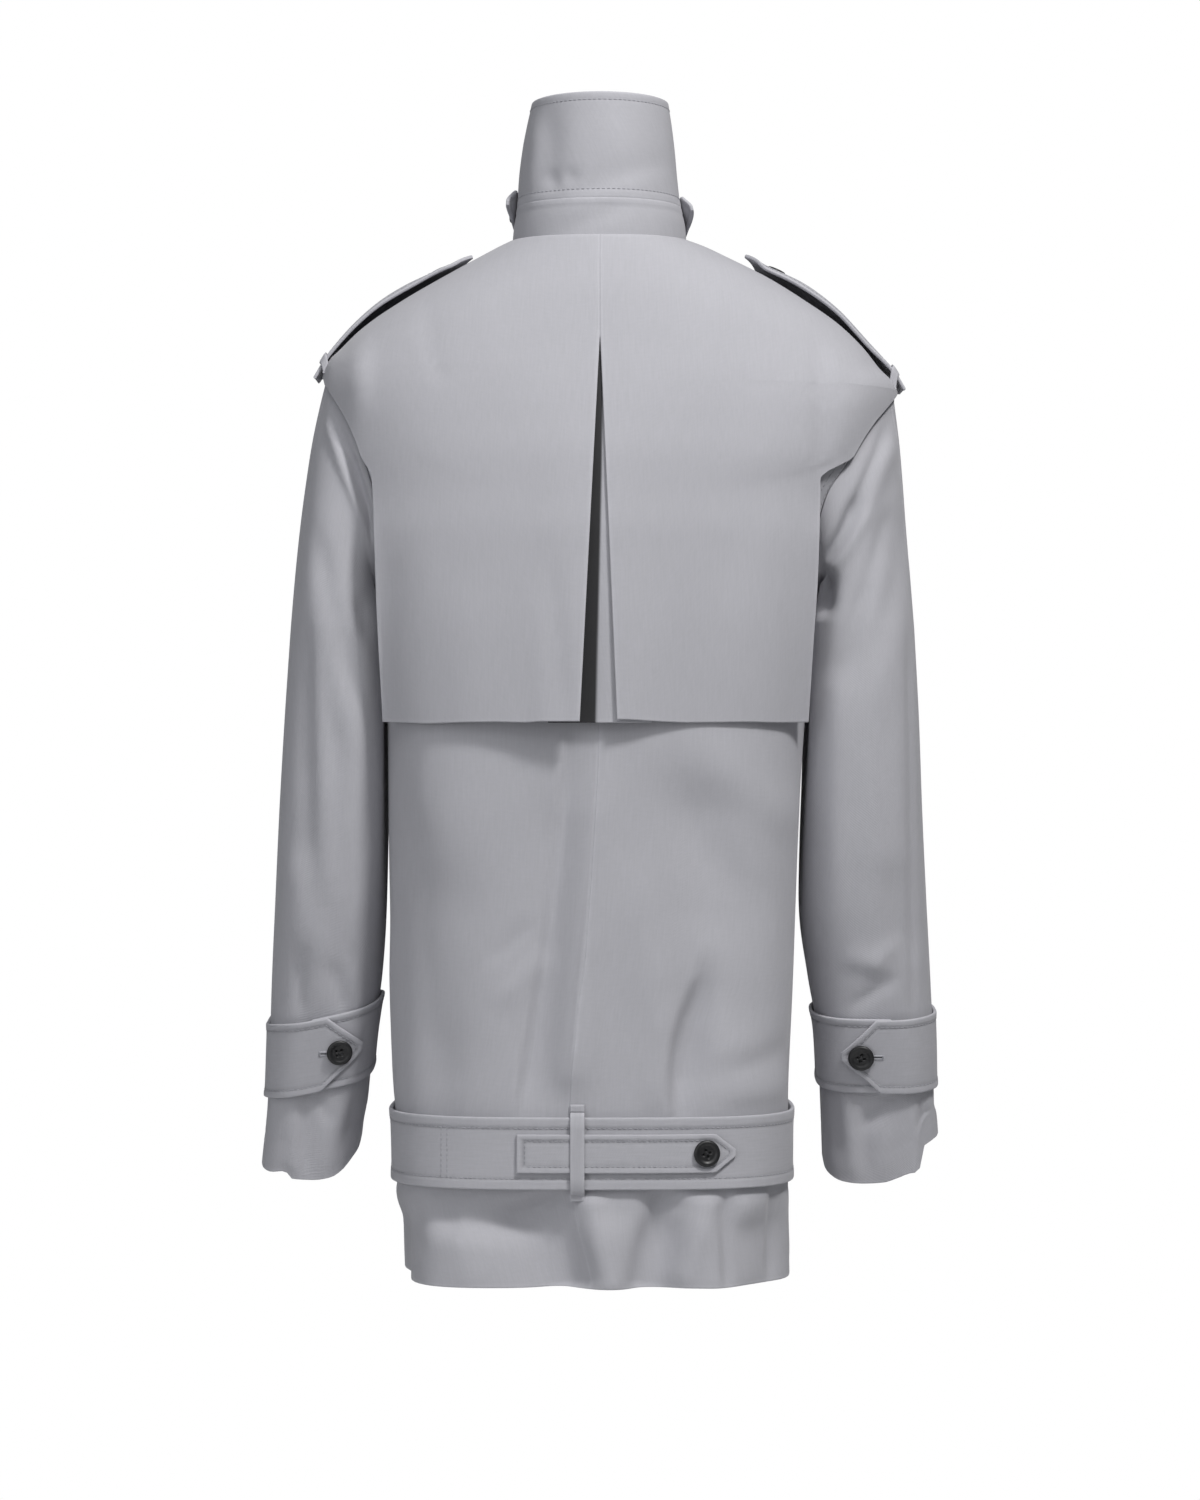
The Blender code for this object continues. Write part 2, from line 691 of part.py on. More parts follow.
def throat_latch(name, material, collection):
    """A strap round the closed front of the collar, with a pointed end at each side."""
    last = 102
    share, across = grid_of(np.linspace(-1, 1, 27), (-1, 0, 1))
    turn = 180 + share * last
    left_over = (last - abs(share * last)) * math.radians(68)
    half = np.where(left_over < 14, 2 + 12 * left_over / 14, 14)
    up = 30 + across * half
    lift = 0.5 + 7 * ramp(abs(share * last), last - 14, last)
    inner = on_collar(turn, up, lift)
    normal = collar_normal(turn, up)
    return wall(name, inner + normal * DOUBLED, inner, material, collection)


# ---------------------------------------------------------------- shoulder straps

EPAULETTE_HALF = 22
LOOP_WIDTH, LOOP_CLOTH, LOOP_FROM_END = 9, 1.4, 20
EPAULETTE = {
    # the underside of each strap, from the neck to the armhole
    LEFT: table(
        "x under",
        (102, -14),
        (121, -19.5),
        (141, -28.5),
        (170, -45),
        (193, -64),
        (214, -88),
        (227, -111),
    ),
    RIGHT: table(
        "x under",
        (116, -12.5),
        (135, -20),
        (154, -29),
        (187, -53),
        (213, -80.5),
        (233, -104),
        (242, -120),
    ),
}
EPAULETTE_TURNED_UP = {LEFT: 2.5, RIGHT: 1.5}
STRAP_DROOP = 0.0005


def epaulette_point(side, x, y, raised=0.0):
    """A strap's underside; its edges sink a little to the back and the front."""
    rows = EPAULETTE[side]
    neck_end = rows["x"][0]
    z = read(rows, "under", x) - STRAP_DROOP * y**2 + raised
    z = z + EPAULETTE_TURNED_UP[side] * ramp(-x, -neck_end - 18, -neck_end)
    return np.stack([side * x, y + 0 * x, z], -1)


def epaulette(name, side, material, collection):
    rows = EPAULETTE[side]
    start, end = rows["x"][0], rows["x"][-1]
    stations = np.concatenate([[start, start + 6, start + 13], np.linspace(start + 24, end, 9)])
    x, across = grid_of(stations, (-1, 0, 1))
    half = np.where(x - start < 13, 2.5 + (EPAULETTE_HALF - 2.5) * (x - start) / 13, EPAULETTE_HALF)

    def surface(first, second):
        return epaulette_point(side, first, second)

    return strap(name, surface, x, across * half, DOUBLED, material, collection, facing=-side)


def shoulder_height(side, x, y):
    """Height of the shoulder's cloth over a point of the ground plan."""
    heights = np.linspace(SHOULDER_TIP[side], -2, 200)
    reach = body_side(side, np.full(heights.shape, float(y)), heights)
    return np.interp(x, reach[::-1], heights[::-1])


def epaulette_loop(name, side, material, collection):
    """A narrow loop over the strap near the armhole; both its feet stand on the shoulder."""
    middle = EPAULETTE[side]["x"][-1] - LOOP_FROM_END
    over = DOUBLED + 0.8
    beyond = epaulette_point(side, middle + 5, np.float64(0))
    slope = unit(beyond - epaulette_point(side, middle - 5, np.float64(0)))
    up = np.array([-slope[2] * side, 0, slope[0] * side])
    stations = [(EPAULETTE_HALF + 6, None), (EPAULETTE_HALF + 3.5, None), (EPAULETTE_HALF + 1.2, over - 1)]
    stations += [(EPAULETTE_HALF - 1.5, over), (8, over)]
    stations += [(-y, rise) for y, rise in reversed(stations)]
    inner = []
    for along in (-LOOP_WIDTH / 2, LOOP_WIDTH / 2):
        row = []
        for y, rise in stations:
            base = epaulette_point(side, middle, np.float64(y)) + slope * along
            if rise is None:
                lifted = 1.0 if abs(y) > EPAULETTE_HALF + 5 else 1.8
                base[2] = shoulder_height(side, abs(base[0]), y) + lifted
                row.append(base)
            else:
                row.append(base + up * rise)
        inner.append(row)
    inner = np.array(inner)
    across = np.gradient(inner, axis=1)
    normal = unit(np.cross(across, slope)) * side
    return wall(name, inner + normal * LOOP_CLOTH, inner, material, collection)


# ---------------------------------------------------------------- cuffs and belt

CUFF_HALF = 30
CUFF_MIDDLE = {LEFT: 645, RIGHT: 646}    # millimetres below the neck, at the sleeve's centre
CUFF_SLANT = {LEFT: (-5, 12), RIGHT: (-5, 0.5)}  # how much lower it lies at the back and outside
CUFF_TIP = {LEFT: 125, RIGHT: 120}
CUFF_POINT = 30          # how many degrees long its pointed end is
CUFF_BUTTON = {LEFT: 107, RIGHT: 105}
CUFF_LIFT = 1.1


def sleeve_down(millimetres):
    """The sleeve's down coordinate at a depth below the neck, for the tube below the armpit."""
    return 1 + (millimetres - TUBE_TOP) / (SLEEVE_HEM - TUBE_TOP)


def cuff_down(side, around, below):
    """The sleeve's down coordinate on the slanting cuff strap, some way below its middle."""
    at_back, outside = CUFF_SLANT[side]
    angle = np.radians(around)
    return sleeve_down(CUFF_MIDDLE[side] + below + at_back * np.sin(angle) + outside * np.cos(angle))


def cuff_strap(name, side, material, collection):
    """A strap round the sleeve whose pointed end laps over its start at the back."""
    tip = CUFF_TIP[side] + 360
    start = CUFF_TIP[side] - 42
    columns = np.concatenate([np.linspace(start, tip - CUFF_POINT, 27), [tip - 20, tip - 10, tip]])
    around, across = grid_of(columns, (-1, 0, 1))
    half = 3 + (CUFF_HALF - 3) * np.clip((tip - around) / CUFF_POINT, 0, 1)
    down = cuff_down(side, around, across * half)
    lift = CUFF_LIFT + (DOUBLED + 0.5) * ramp(around, start + 360 - 34, start + 360 - 8)
    inner = on_sleeve(side, around, down, lift)
    normal = sleeve_normal(side, around, down)
    return wall(name, inner + normal * DOUBLED, inner, material, collection)


BELT_LIFT = 1.5
BELT_CLOTH = 2.6
BELT_START, BELT_END = 172, -212


def belt(name, material, collection):
    """A ring of belt whose pointed end laps over its start at the front."""
    turn, across = grid_of(
        np.concatenate([np.linspace(BELT_START, BELT_END + 7, 54), [BELT_END + 3, BELT_END]]), (-1, 0, 1)
    )
    middle, half = (BELT_TOP + BELT_BOTTOM) / 2, (BELT_TOP - BELT_BOTTOM) / 2
    left_over = (turn - BELT_END) * math.radians(140)
    half = np.where(left_over < 16, 9 + (half - 9) * left_over / 16, half)
    height = middle + across * half
    lift = OVERLAP_LIFT * ramp(-turn, 118, 134) + (BELT_CLOTH + 0.5) * ramp(-turn, 160, 182)
    lift = lift + OVERLAP_LIFT * ramp(turn, 125, 143)
    inner = on_body(turn, height, BELT_LIFT + lift)
    normal = body_normal(turn, height)
    return wall(name, inner + normal * BELT_CLOTH, inner, material, collection)


TAB_START, TAB_END = 64, -103
TAB_CLOTH = 2.0
TAB_BUTTON = -81


def belt_tab(name, material, collection):
    """A tab along the back of the belt, with its point towards the wearer's right."""
    x, across = grid_of(np.concatenate([np.linspace(TAB_START, TAB_END + 15, 10), [TAB_END]]), (-1, 0, 1))
    middle, half = (TAB_TOP + TAB_BOTTOM) / 2, (TAB_TOP - TAB_BOTTOM) / 2
    half = np.where(x - TAB_END < 15, 2.5 + (half - 2.5) * (x - TAB_END) / 15, half)
    height = middle + across * half
    turn = np.where(x > 0, turn_at(LEFT, x, height), turn_at(RIGHT, x, height))
    inner = on_body(turn, height, BELT_LIFT + BELT_CLOTH + 0.4 + 0 * turn)
    normal = body_normal(turn, height)
    return wall(name, inner + normal * TAB_CLOTH, inner, material, collection)


def belt_loop(name, material, collection):
    """A loop over the belt and its tab; its two ends are sewn down on the back."""
    centre, wide, thick = 17.5, 11, 1.5
    over = BELT_LIFT + BELT_CLOTH + 0.4 + TAB_CLOTH + 0.5
    profile = table(
        "height lift",
        (-756, 0.9),
        (-751, 0.9),
        (-747.8, 4.8),
        (-738, over),
        (-700, over),
        (-690, 4.8),
        (-688, 0.9),
        (-681, 0.9),
    )
    x, height = grid_of((centre - wide / 2, centre + wide / 2), profile["height"])
    turn = turn_at(LEFT, x, height)
    lift = profile["lift"][:, None] + 0 * x
    slope = np.gradient(lift, height[:, 0], axis=0)
    inner = on_body(turn, height, lift)
    normal = unit(body_normal(turn, height) - np.stack([0 * x, 0 * x, slope], -1))
    return wall(name, inner + normal * thick, inner, material, collection)


# ---------------------------------------------------------------- the whole coat


def clear_scene():
    for leftover in list(bpy.data.objects):
        bpy.data.objects.remove(leftover, do_unlink=True)


def button_on(name, point, normal, lift, material, collection, small=False):
    radius = SMALL_BUTTON_RADIUS if small else BUTTON_RADIUS
    height = SMALL_BUTTON_HEIGHT if small else BUTTON_HEIGHT
    normal = np.asarray(normal).reshape(3)
    place = np.asarray(point).reshape(3) + normal * lift
    return button(name, place, normal, radius, height, material, collection)


def main():
    clear_scene()
    coat = bpy.data.collections.new("cropped_trench_coat")
    bpy.context.scene.collection.children.link(coat)
    cloth = finish("coat_cloth", (0.45, 0.455, 0.49), 0.75)
    strap_cloth = finish("strap_cloth", (0.4, 0.405, 0.44), 0.78)
    shell = finish("black_button", (0.012, 0.012, 0.013), 0.4)

    back_panel("back_left", LEFT, cloth, coat)
    back_panel("back_right", RIGHT, cloth, coat)
    front_panel("front_left", LEFT, cloth, coat)
    front_panel("front_right", RIGHT, cloth, coat)
    for word, side in (("left", LEFT), ("right", RIGHT)):
        sleeve_panel(f"sleeve_{word}_top", side, INNER_SEAM - 360, HIND_SEAM, cloth, coat)
        sleeve_panel(f"sleeve_{word}_under", side, HIND_SEAM, INNER_SEAM, cloth, coat)
        cape_panel(f"cape_{word}", side, cloth, coat)
        epaulette(f"epaulette_{word}", side, strap_cloth, coat)
        epaulette_loop(f"epaulette_loop_{word}", side, strap_cloth, coat)
        cuff_strap(f"cuff_strap_{word}", side, strap_cloth, coat)
    underlay("cape_underlay", cloth, coat)
    collar_band("collar_stand", 2 * SEAM, STAND_HEIGHT - SEAM, stand_gap, 3, cloth, coat)
    collar_band("collar_fall", STAND_HEIGHT + SEAM, COLLAR_HEIGHT, fall_gap, 5, cloth, coat)
    throat_latch("throat_latch", strap_cloth, coat)
    belt("belt", strap_cloth, coat)
    belt_tab("belt_tab", strap_cloth, coat)
    belt_loop("belt_loop", strap_cloth, coat)

    number = 0
    for column in (1, -1):
        for height in BUTTON_ROWS:
            number += 1
            turn = column * (180 - math.degrees(math.atan2(BUTTON_COLUMN, 130)))
            ring = np.float64(height + 10)
            lift = OVERLAP_LIFT + SEAM
            point, normal = body_point(turn, ring), body_normal(turn, ring)
            button_on(f"front_button_{number}", point, normal, lift, shell, coat)
    middle = np.float64((BELT_TOP + BELT_BOTTOM) / 2)
    turn = np.float64(BELT_END + 9.5)
    lift = BELT_LIFT + 2 * BELT_CLOTH + OVERLAP_LIFT + 0.5 + SEAM
    point, normal = body_point(turn, middle), body_normal(turn, middle)
    button_on("belt_front_button", point, normal, lift, shell, coat)
    middle = np.float64((TAB_TOP + TAB_BOTTOM) / 2)
    turn = turn_at(RIGHT, np.float64(TAB_BUTTON), middle)
    lift = BELT_LIFT + BELT_CLOTH + 0.4 + TAB_CLOTH + SEAM
    point, normal = body_point(turn, middle), body_normal(turn, middle)
    button_on("belt_tab_button", point, normal, lift, shell, coat)
    for word, side in (("left", LEFT), ("right", RIGHT)):
        around = np.float64(CUFF_BUTTON[side])
        down = cuff_down(side, around, 0)
        lift = CUFF_LIFT + 2 * DOUBLED + 0.5 + SEAM
        point, normal = sleeve_point(side, around, down), sleeve_normal(side, around, down)
        button_on(f"cuff_button_{word}", point, normal, lift, shell, coat)
        turn = np.float64(side * 99)
        point, normal, lift = collar_point(turn, 30), collar_normal(turn, 30), 1.1 + DOUBLED
        button_on(f"throat_button_{word}", point, normal, lift, shell, coat, small=True)
        rows = EPAULETTE[side]
        x = rows["x"][0] + 24
        point = epaulette_point(side, x, np.float64(0))
        beyond = epaulette_point(side, x + 5, np.float64(0))
        slope = beyond - epaulette_point(side, x - 5, np.float64(0))
        up = unit(np.array([-slope[2] * side, 0, slope[0] * side]))
        button_on(f"epaulette_button_{word}", point, up, DOUBLED + SEAM, shell, coat, small=True)


main()
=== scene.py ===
# %% [markdown]
# # A cropped trench coat, worn and seen from behind
# The coat hangs hollow, in the shape it has on a wearer who isn't there. It is cut from grey
# cotton gabardine, a steep twill, with a loose back cape, shoulder straps, cuff straps and a low
# belt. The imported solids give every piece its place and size. This lesson gives each one
# its finer form: the same surface, read at many more points, with creases pressed into it.

# %% Load the frame
import math

import bpy
import numpy as np
from mathutils import Matrix, Vector


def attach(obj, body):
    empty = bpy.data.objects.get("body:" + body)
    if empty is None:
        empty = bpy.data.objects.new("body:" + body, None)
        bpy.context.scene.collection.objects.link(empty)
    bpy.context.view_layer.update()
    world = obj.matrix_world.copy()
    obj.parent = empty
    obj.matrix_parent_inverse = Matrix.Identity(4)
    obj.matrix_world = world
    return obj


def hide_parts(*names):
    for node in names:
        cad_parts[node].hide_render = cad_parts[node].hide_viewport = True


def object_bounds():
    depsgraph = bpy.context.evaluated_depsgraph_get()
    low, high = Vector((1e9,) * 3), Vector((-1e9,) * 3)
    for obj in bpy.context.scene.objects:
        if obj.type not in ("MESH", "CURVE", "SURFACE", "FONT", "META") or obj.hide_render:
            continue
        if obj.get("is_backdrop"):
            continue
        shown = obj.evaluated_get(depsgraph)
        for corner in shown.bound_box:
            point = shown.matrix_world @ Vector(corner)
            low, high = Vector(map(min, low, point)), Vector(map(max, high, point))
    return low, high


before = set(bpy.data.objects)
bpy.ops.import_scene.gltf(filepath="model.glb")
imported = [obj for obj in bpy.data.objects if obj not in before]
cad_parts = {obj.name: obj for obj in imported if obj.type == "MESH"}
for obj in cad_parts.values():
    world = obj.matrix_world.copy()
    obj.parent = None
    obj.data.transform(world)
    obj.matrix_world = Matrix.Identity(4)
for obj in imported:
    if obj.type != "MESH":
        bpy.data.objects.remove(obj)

solid_box = [list(map(float, corner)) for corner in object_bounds()]
print("solids:", len(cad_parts), "box:", solid_box)

# %% [markdown]
# ## Camera and light
# The photograph was taken from behind with a long lens, level, at the height of the chest. So the
# camera stands 3.1 m away on the +Y side. Its main light falls steeply from the upper right of the
# picture, and is small enough for the cape to throw a clear shadow. A large soft lamp hangs above
# the camera, one fills in from the left, a weak one lights the front, which the photograph doesn't
# show, and a plain surround stands in for a pale studio.

# %% Camera
camera_data = bpy.data.cameras.new("camera")
camera_data.lens = 93.5
camera_data.sensor_fit = "VERTICAL"
camera_data.sensor_height = 36
camera = bpy.data.objects.new("camera", camera_data)
camera.location = (0, 3.13, -0.407)
camera.rotation_euler = (math.radians(90), 0, math.radians(180))
bpy.context.scene.collection.objects.link(camera)
bpy.context.scene.camera = camera
print("camera", tuple(round(v, 3) for v in camera.location), "lens", camera_data.lens)


# %% Lamps
AIM = (0, 0, -0.35)


def lamp(name, place, size, watts, tint=(1, 1, 1)):
    """A square area lamp at a place, turned towards the middle of the back."""
    data = bpy.data.lights.new(name, "AREA")
    data.size = size
    data.energy = watts
    data.color = tint
    made = bpy.data.objects.new(name, data)
    made.location = place
    made.rotation_euler = (Vector(AIM) - Vector(place)).to_track_quat("-Z", "Y").to_euler()
    bpy.context.scene.collection.objects.link(made)


lamp("key", (-1.18, 1.69, 2.10), 0.45, 79, (1, 0.99, 0.975))
lamp("soft_top", (0, 2.26, 1.91), 2.0, 32)
lamp("fill", (2.05, 2.44, -0.07), 2.0, 23, (0.97, 0.98, 1))
lamp("front", (0.6, -3.0, 0.9), 1.8, 14)

# %% The bright surround
world = bpy.data.worlds.new("studio")
bpy.context.scene.world = world
world.use_nodes = True
air = world.node_tree
air.nodes.clear()
which = air.nodes.new("ShaderNodeLightPath")
choose = air.nodes.new("ShaderNodeMixShader")
end = air.nodes.new("ShaderNodeOutputWorld")
air.links.new(which.outputs["Is Camera Ray"], choose.inputs["Fac"])
for place, colour, strength in ((1, (0.93, 0.96, 1, 1), 0.13), (2, (1, 1, 1, 1), 1.0)):
    glow = air.nodes.new("ShaderNodeBackground")
    glow.inputs["Color"].default_value = colour
    glow.inputs["Strength"].default_value = strength
    air.links.new(glow.outputs["Background"], choose.inputs[place])
air.links.new(choose.outputs["Shader"], end.inputs["Surface"])
bpy.context.scene.view_settings.view_transform = "Standard"
bpy.context.scene.view_settings.look = "None"

# %% [markdown]
# ## Reading shapes from short tables
# A garment changes slowly from place to place, so its sizes fit in short tables: a row for each
# height, a column for each size. `read` draws a smooth curve through a column, one that never
# swings past its rows, because an overshoot would show as a dent in the cloth. All sizes below
# are in millimetres, and are turned into metres only when a mesh is made.

# %% Tables and curves
MM = 0.001
LEFT, RIGHT = 1, -1
SIDES = (("left", LEFT), ("right", RIGHT))


def table(names, *rows):
    """A short table with named columns; its first column is the key, in rising order."""
    return dict(zip(names.split(), np.array(rows, float).T))


def read(rows, column, at):
    """A column at any value of the key, on a smooth curve that doesn't overshoot its rows."""
    keys = next(iter(rows.values()))
    values = rows[column]
    steps = np.diff(keys)
    slopes = np.diff(values) / steps
    product = slopes[:-1] * slopes[1:]
    total = np.where(product > 0, slopes[:-1] + slopes[1:], 1)
    inner = np.where(product > 0, 2 * product / total, 0)
    tangents = np.concatenate([slopes[:1], inner, slopes[-1:]])
    at = np.clip(at, keys[0], keys[-1])
    span = np.clip(np.searchsorted(keys, at) - 1, 0, len(steps) - 1)
    t = (at - keys[span]) / steps[span]
    rise = values[span + 1] - values[span]
    start, finish = tangents[span] * steps[span], tangents[span + 1] * steps[span]
    eased = t * start + t * t * (3 * rise - 2 * start - finish)
    return values[span] + eased + t**3 * (start + finish - 2 * rise)


def ramp(value, start, end):
    """0 up to start and 1 from end, smooth between them."""
    t = np.clip((value - start) / (end - start), 0, 1)
    return t * t * (3 - 2 * t)


def hill(value, middle, width):
    """1 at a middle value, falling off softly to both sides over a width."""
    return np.exp(-(((value - middle) / width) ** 2))


def vec(x, y, z):
    """Points or directions from their three coordinates, each a number or an array."""
    return np.stack(np.broadcast_arrays(x, y, z), -1).astype(float)


def bearing(x, y):
    """The turn of a point seen from above: 0 behind, 90 at the wearer's left, 180 in front."""
    return np.degrees(np.arctan2(x, y))


def unit(vectors):
    """The same directions, one long."""
    return vectors / np.linalg.norm(vectors, axis=-1, keepdims=True)


def normal_of(surface, first, second, step=0.5, facing=1):
    """The unit normal of a surface given by two coordinates, from its slopes."""
    across = surface(first + step, second) - surface(first - step, second)
    along = surface(first, second + step) - surface(first, second - step)
    return facing * unit(np.cross(along, across))


print("halfway between rows:", float(read(table("key value", (0, 0), (1, 1), (2, 4)), "value", 1.5)))

# %% Heights and thicknesses, the same as the solids have
CLOTH, DOUBLED, COLLAR_CLOTH = 1.6, 2.2, 2.0
SEAM, SEAM_GAP = 0.3, 0.4
HEM, ARMPIT, CAPE_HEM, PLEAT_TOP = -823, -290, -385, -84
BELT_TOP, BELT_BOTTOM = -691, -747
TAB_TOP, TAB_BOTTOM = -704, -734
NECK, STAND_HEIGHT, COLLAR_HEIGHT = -3, 31, 115
NECK_DROP, NECK_DROP_ENDS = 66, -230
SHOULDER_TIP = {LEFT: -108, RIGHT: -121}
ARMHOLE_DEPTH = {"back": 76, "front": 70}
OVERLAP_LIFT = CLOTH + 0.5
UNDER_EDGE = 60
BUTTON_ROWS = (-165, -300, -435, -570)
BUTTON_COLUMN = 56
FRONT_DEPTH, FRONT_DIP = 130, 10  # how deep the front is there, and how far its rings dip
BUTTON_RADIUS, BUTTON_HEIGHT, SMALL_BUTTON_RADIUS, SMALL_BUTTON_HEIGHT = 10.4, 3.6, 8, 2.6
print("from hem to collar edge:", NECK + COLLAR_HEIGHT - HEM, "mm")

# %% [markdown]
# ## Pressing creases into cloth
# Real creases come from how the cloth is pulled: down from the points of the cape, into the
# belt, across the elbow. They are uneven, so each one is given in its own row of a table: where
# it starts and ends as seen from behind, how much it bows, how wide it is on its left and on its
# right, and how high it stands or how deep it sinks. One sharp and one soft side make it look
# like cloth.

# %% One crease after another
CREASE = "x1 z1 x2 z2 bow left right height fade"


def pressed(rows, across, up):
    """How far the creases of a table move the cloth out, at points across and up."""
    out = np.zeros(np.broadcast(across, up).shape)
    for x1, z1, x2, z2, bow, left, right, height, fade in zip(*rows.values()):
        long = math.hypot(x2 - x1, z2 - z1)
        ux, uz = (x2 - x1) / long, (z2 - z1) / long
        along = ((across - x1) * ux + (up - z1) * uz) / long
        aside = (up - z1) * ux - (across - x1) * uz
        t = np.clip(along, 0, 1)
        aside = aside - bow * 4 * t * (1 - t)
        wide = np.where(aside > 0, left, right)
        ends = ramp(along, -fade, fade) * ramp(1 - along, -fade, fade)
        out = out + height * ends * hill(aside, 0, wide)
    return out


# %% [markdown]
# ## Cloth: grain, slubs, and worn edges with a painted highlight
# Gabardine is a steep twill. From a step away its ribs melt into a faint upright
# streakiness, so the weave is a node group with two outputs: a height for the bump and a tone for
# the colour. It reads the place on the cloth in metres, from a UV map that follows the panel, so the
# streaks run down each piece as its grain does. The same group serves every cloth material.


# %% A node group with named inputs
def new_group(name, inputs, outputs):
    """An empty shader node group; inputs are (name, kind, default) and outputs are (name, kind)."""
    group = bpy.data.node_groups.new(name, "ShaderNodeTree")
    for label, kind, value in inputs:
        socket = group.interface.new_socket(name=label, in_out="INPUT", socket_type=kind)
        if value is not None:
            socket.default_value = value
    for label, kind in outputs:
        group.interface.new_socket(name=label, in_out="OUTPUT", socket_type=kind)
    return group, group.nodes.new("NodeGroupInput"), group.nodes.new("NodeGroupOutput")


def feed(tree, value, socket):
    """Sets a socket to a constant, or links another node's output into it."""
    if isinstance(value, bpy.types.NodeSocket):
        tree.links.new(value, socket)
    else:
        socket.default_value = value


def maths(tree, operation, first, second=None):
    """A Math node; first and second are sockets or numbers. Returns its output socket."""
    node = tree.nodes.new("ShaderNodeMath")
    node.operation = operation
    feed(tree, first, node.inputs[0])
    if second is not None:
        feed(tree, second, node.inputs[1])
    return node.outputs[0]


def vectors(tree, operation, first, second):
    """A Vector Math node; second may be three numbers."""
    node = tree.nodes.new("ShaderNodeVectorMath")
    node.operation = operation
    feed(tree, first, node.inputs[0])
    feed(tree, second, node.inputs[1])
    return node.outputs["Value"] if operation == "DOT_PRODUCT" else node.outputs[0]


def noise(tree, place, scale=1.0, detail=2.0, rough=0.5):
    """A Noise Texture node at a place; returns its value between 0 and 1."""
    node = tree.nodes.new("ShaderNodeTexNoise")
    for label, value in (("Vector", place), ("Scale", scale), ("Detail", detail), ("Roughness", rough)):
        feed(tree, value, node.inputs[label])
    return node.outputs[0]


def mix_colour(tree, share, first, second, blend="MIX"):
    """A colour Mix node; returns its result."""
    node = tree.nodes.new("ShaderNodeMix")
    node.data_type = "RGBA"
    node.blend_type = blend
    for label, kind, value in (("Factor", "VALUE", share), ("A", "RGBA", first), ("B", "RGBA", second)):
        feed(tree, value, next(s for s in node.inputs if s.name == label and s.type == kind))
    return next(s for s in node.outputs if s.type == "RGBA")


# %% The twill
twill, given, gives = new_group(
    "twill_weave",
    (
        ("Place", "NodeSocketVector", None),
        ("Ribs per Metre", "NodeSocketFloat", 1150.0),
        ("Slub", "NodeSocketFloat", 0.5),
    ),
    (("Height", "NodeSocketFloat"), ("Tone", "NodeSocketFloat")),
)
place = given.outputs["Place"]
steep = vectors(twill, "DOT_PRODUCT", place, (0.9, 0.44, 0.0))
ribs = maths(twill, "MULTIPLY", steep, given.outputs["Ribs per Metre"])
wave = maths(twill, "SINE", maths(twill, "MULTIPLY", ribs, 2 * math.pi))
rib = maths(twill, "ADD", maths(twill, "MULTIPLY", wave, 0.5), 0.5)
streaks = noise(twill, vectors(twill, "MULTIPLY", place, (780.0, 45.0, 1.0)), 1.0, 3.0, 0.62)
picks = noise(twill, vectors(twill, "MULTIPLY", place, (140.0, 520.0, 1.0)))
grain = maths(twill, "ADD", maths(twill, "MULTIPLY", streaks, 0.68), maths(twill, "MULTIPLY", picks, 0.32))
slubby = maths(twill, "MULTIPLY", maths(twill, "SUBTRACT", grain, 0.5), given.outputs["Slub"])
height = maths(twill, "ADD", maths(twill, "MULTIPLY", rib, 0.45), slubby)
tone = maths(twill, "ADD", slubby, 0.5)
twill.links.new(height, gives.inputs["Height"])
twill.links.new(tone, gives.inputs["Tone"])
print("twill group:", len(twill.nodes), "nodes")

# %% Worn edges with a painted highlight, and handled cloth
wear_and_highlight, given, gives = new_group(
    "edge_wear_and_highlight",
    (
        ("Colour", "NodeSocketColor", (0.4, 0.4, 0.4, 1)),
        ("Worn and Lit Colour", "NodeSocketColor", (0.5, 0.5, 0.5, 1)),
        ("Place", "NodeSocketVector", None),
        ("Edge", "NodeSocketFloat", 0.0),
        ("Amount", "NodeSocketFloat", 0.5),
    ),
    (("Colour", "NodeSocketColor"), ("Mask", "NodeSocketFloat")),
)
# The edges lighten in patches: partly worn by rubbing, and partly a painted highlight where the raised edges
# catch the light.
patchy = noise(wear_and_highlight, vectors(wear_and_highlight, "MULTIPLY", given.outputs["Place"], (90.0, 90.0, 90.0)), 1.0, 3.0, 0.6)
rubbed_and_lit = maths(wear_and_highlight, "MULTIPLY", given.outputs["Edge"], patchy)
rubbed_and_lit = maths(wear_and_highlight, "MULTIPLY", rubbed_and_lit, given.outputs["Amount"])
worn = mix_colour(wear_and_highlight, rubbed_and_lit, given.outputs["Colour"], given.outputs["Worn and Lit Colour"])
wear_and_highlight.links.new(worn, gives.inputs["Colour"])
wear_and_highlight.links.new(rubbed_and_lit, gives.inputs["Mask"])

mottle, given, gives = new_group(
    "soft_mottle",
    (
        ("Place", "NodeSocketVector", None),
        ("Scale", "NodeSocketFloat", 14.0),
        ("Strength", "NodeSocketFloat", 0.1),
    ),
    (("Tone", "NodeSocketFloat"), ("Height", "NodeSocketFloat")),
)
stretched = vectors(mottle, "MULTIPLY", given.outputs["Place"], (1.0, 0.6, 1.0))
clouds = noise(mottle, stretched, given.outputs["Scale"], 4.0)
swing = maths(mottle, "MULTIPLY", maths(mottle, "SUBTRACT", clouds, 0.5), given.outputs["Strength"])
mottle.links.new(maths(mottle, "ADD", swing, 1.0), gives.inputs["Tone"])
mottle.links.new(clouds, gives.inputs["Height"])
print("groups:", [g.name for g in bpy.data.node_groups])


# %% Parts that every material is made of
def new_material(name, settings):
    """A material with a Principled shader, some of whose inputs are set by name."""
    material = bpy.data.materials.new(name)
    material.use_nodes = True
    tree = material.node_tree
    shader = tree.nodes["Principled BSDF"]
    for label, value in settings.items():
        shader.inputs[label].default_value = value
    return material, tree, shader


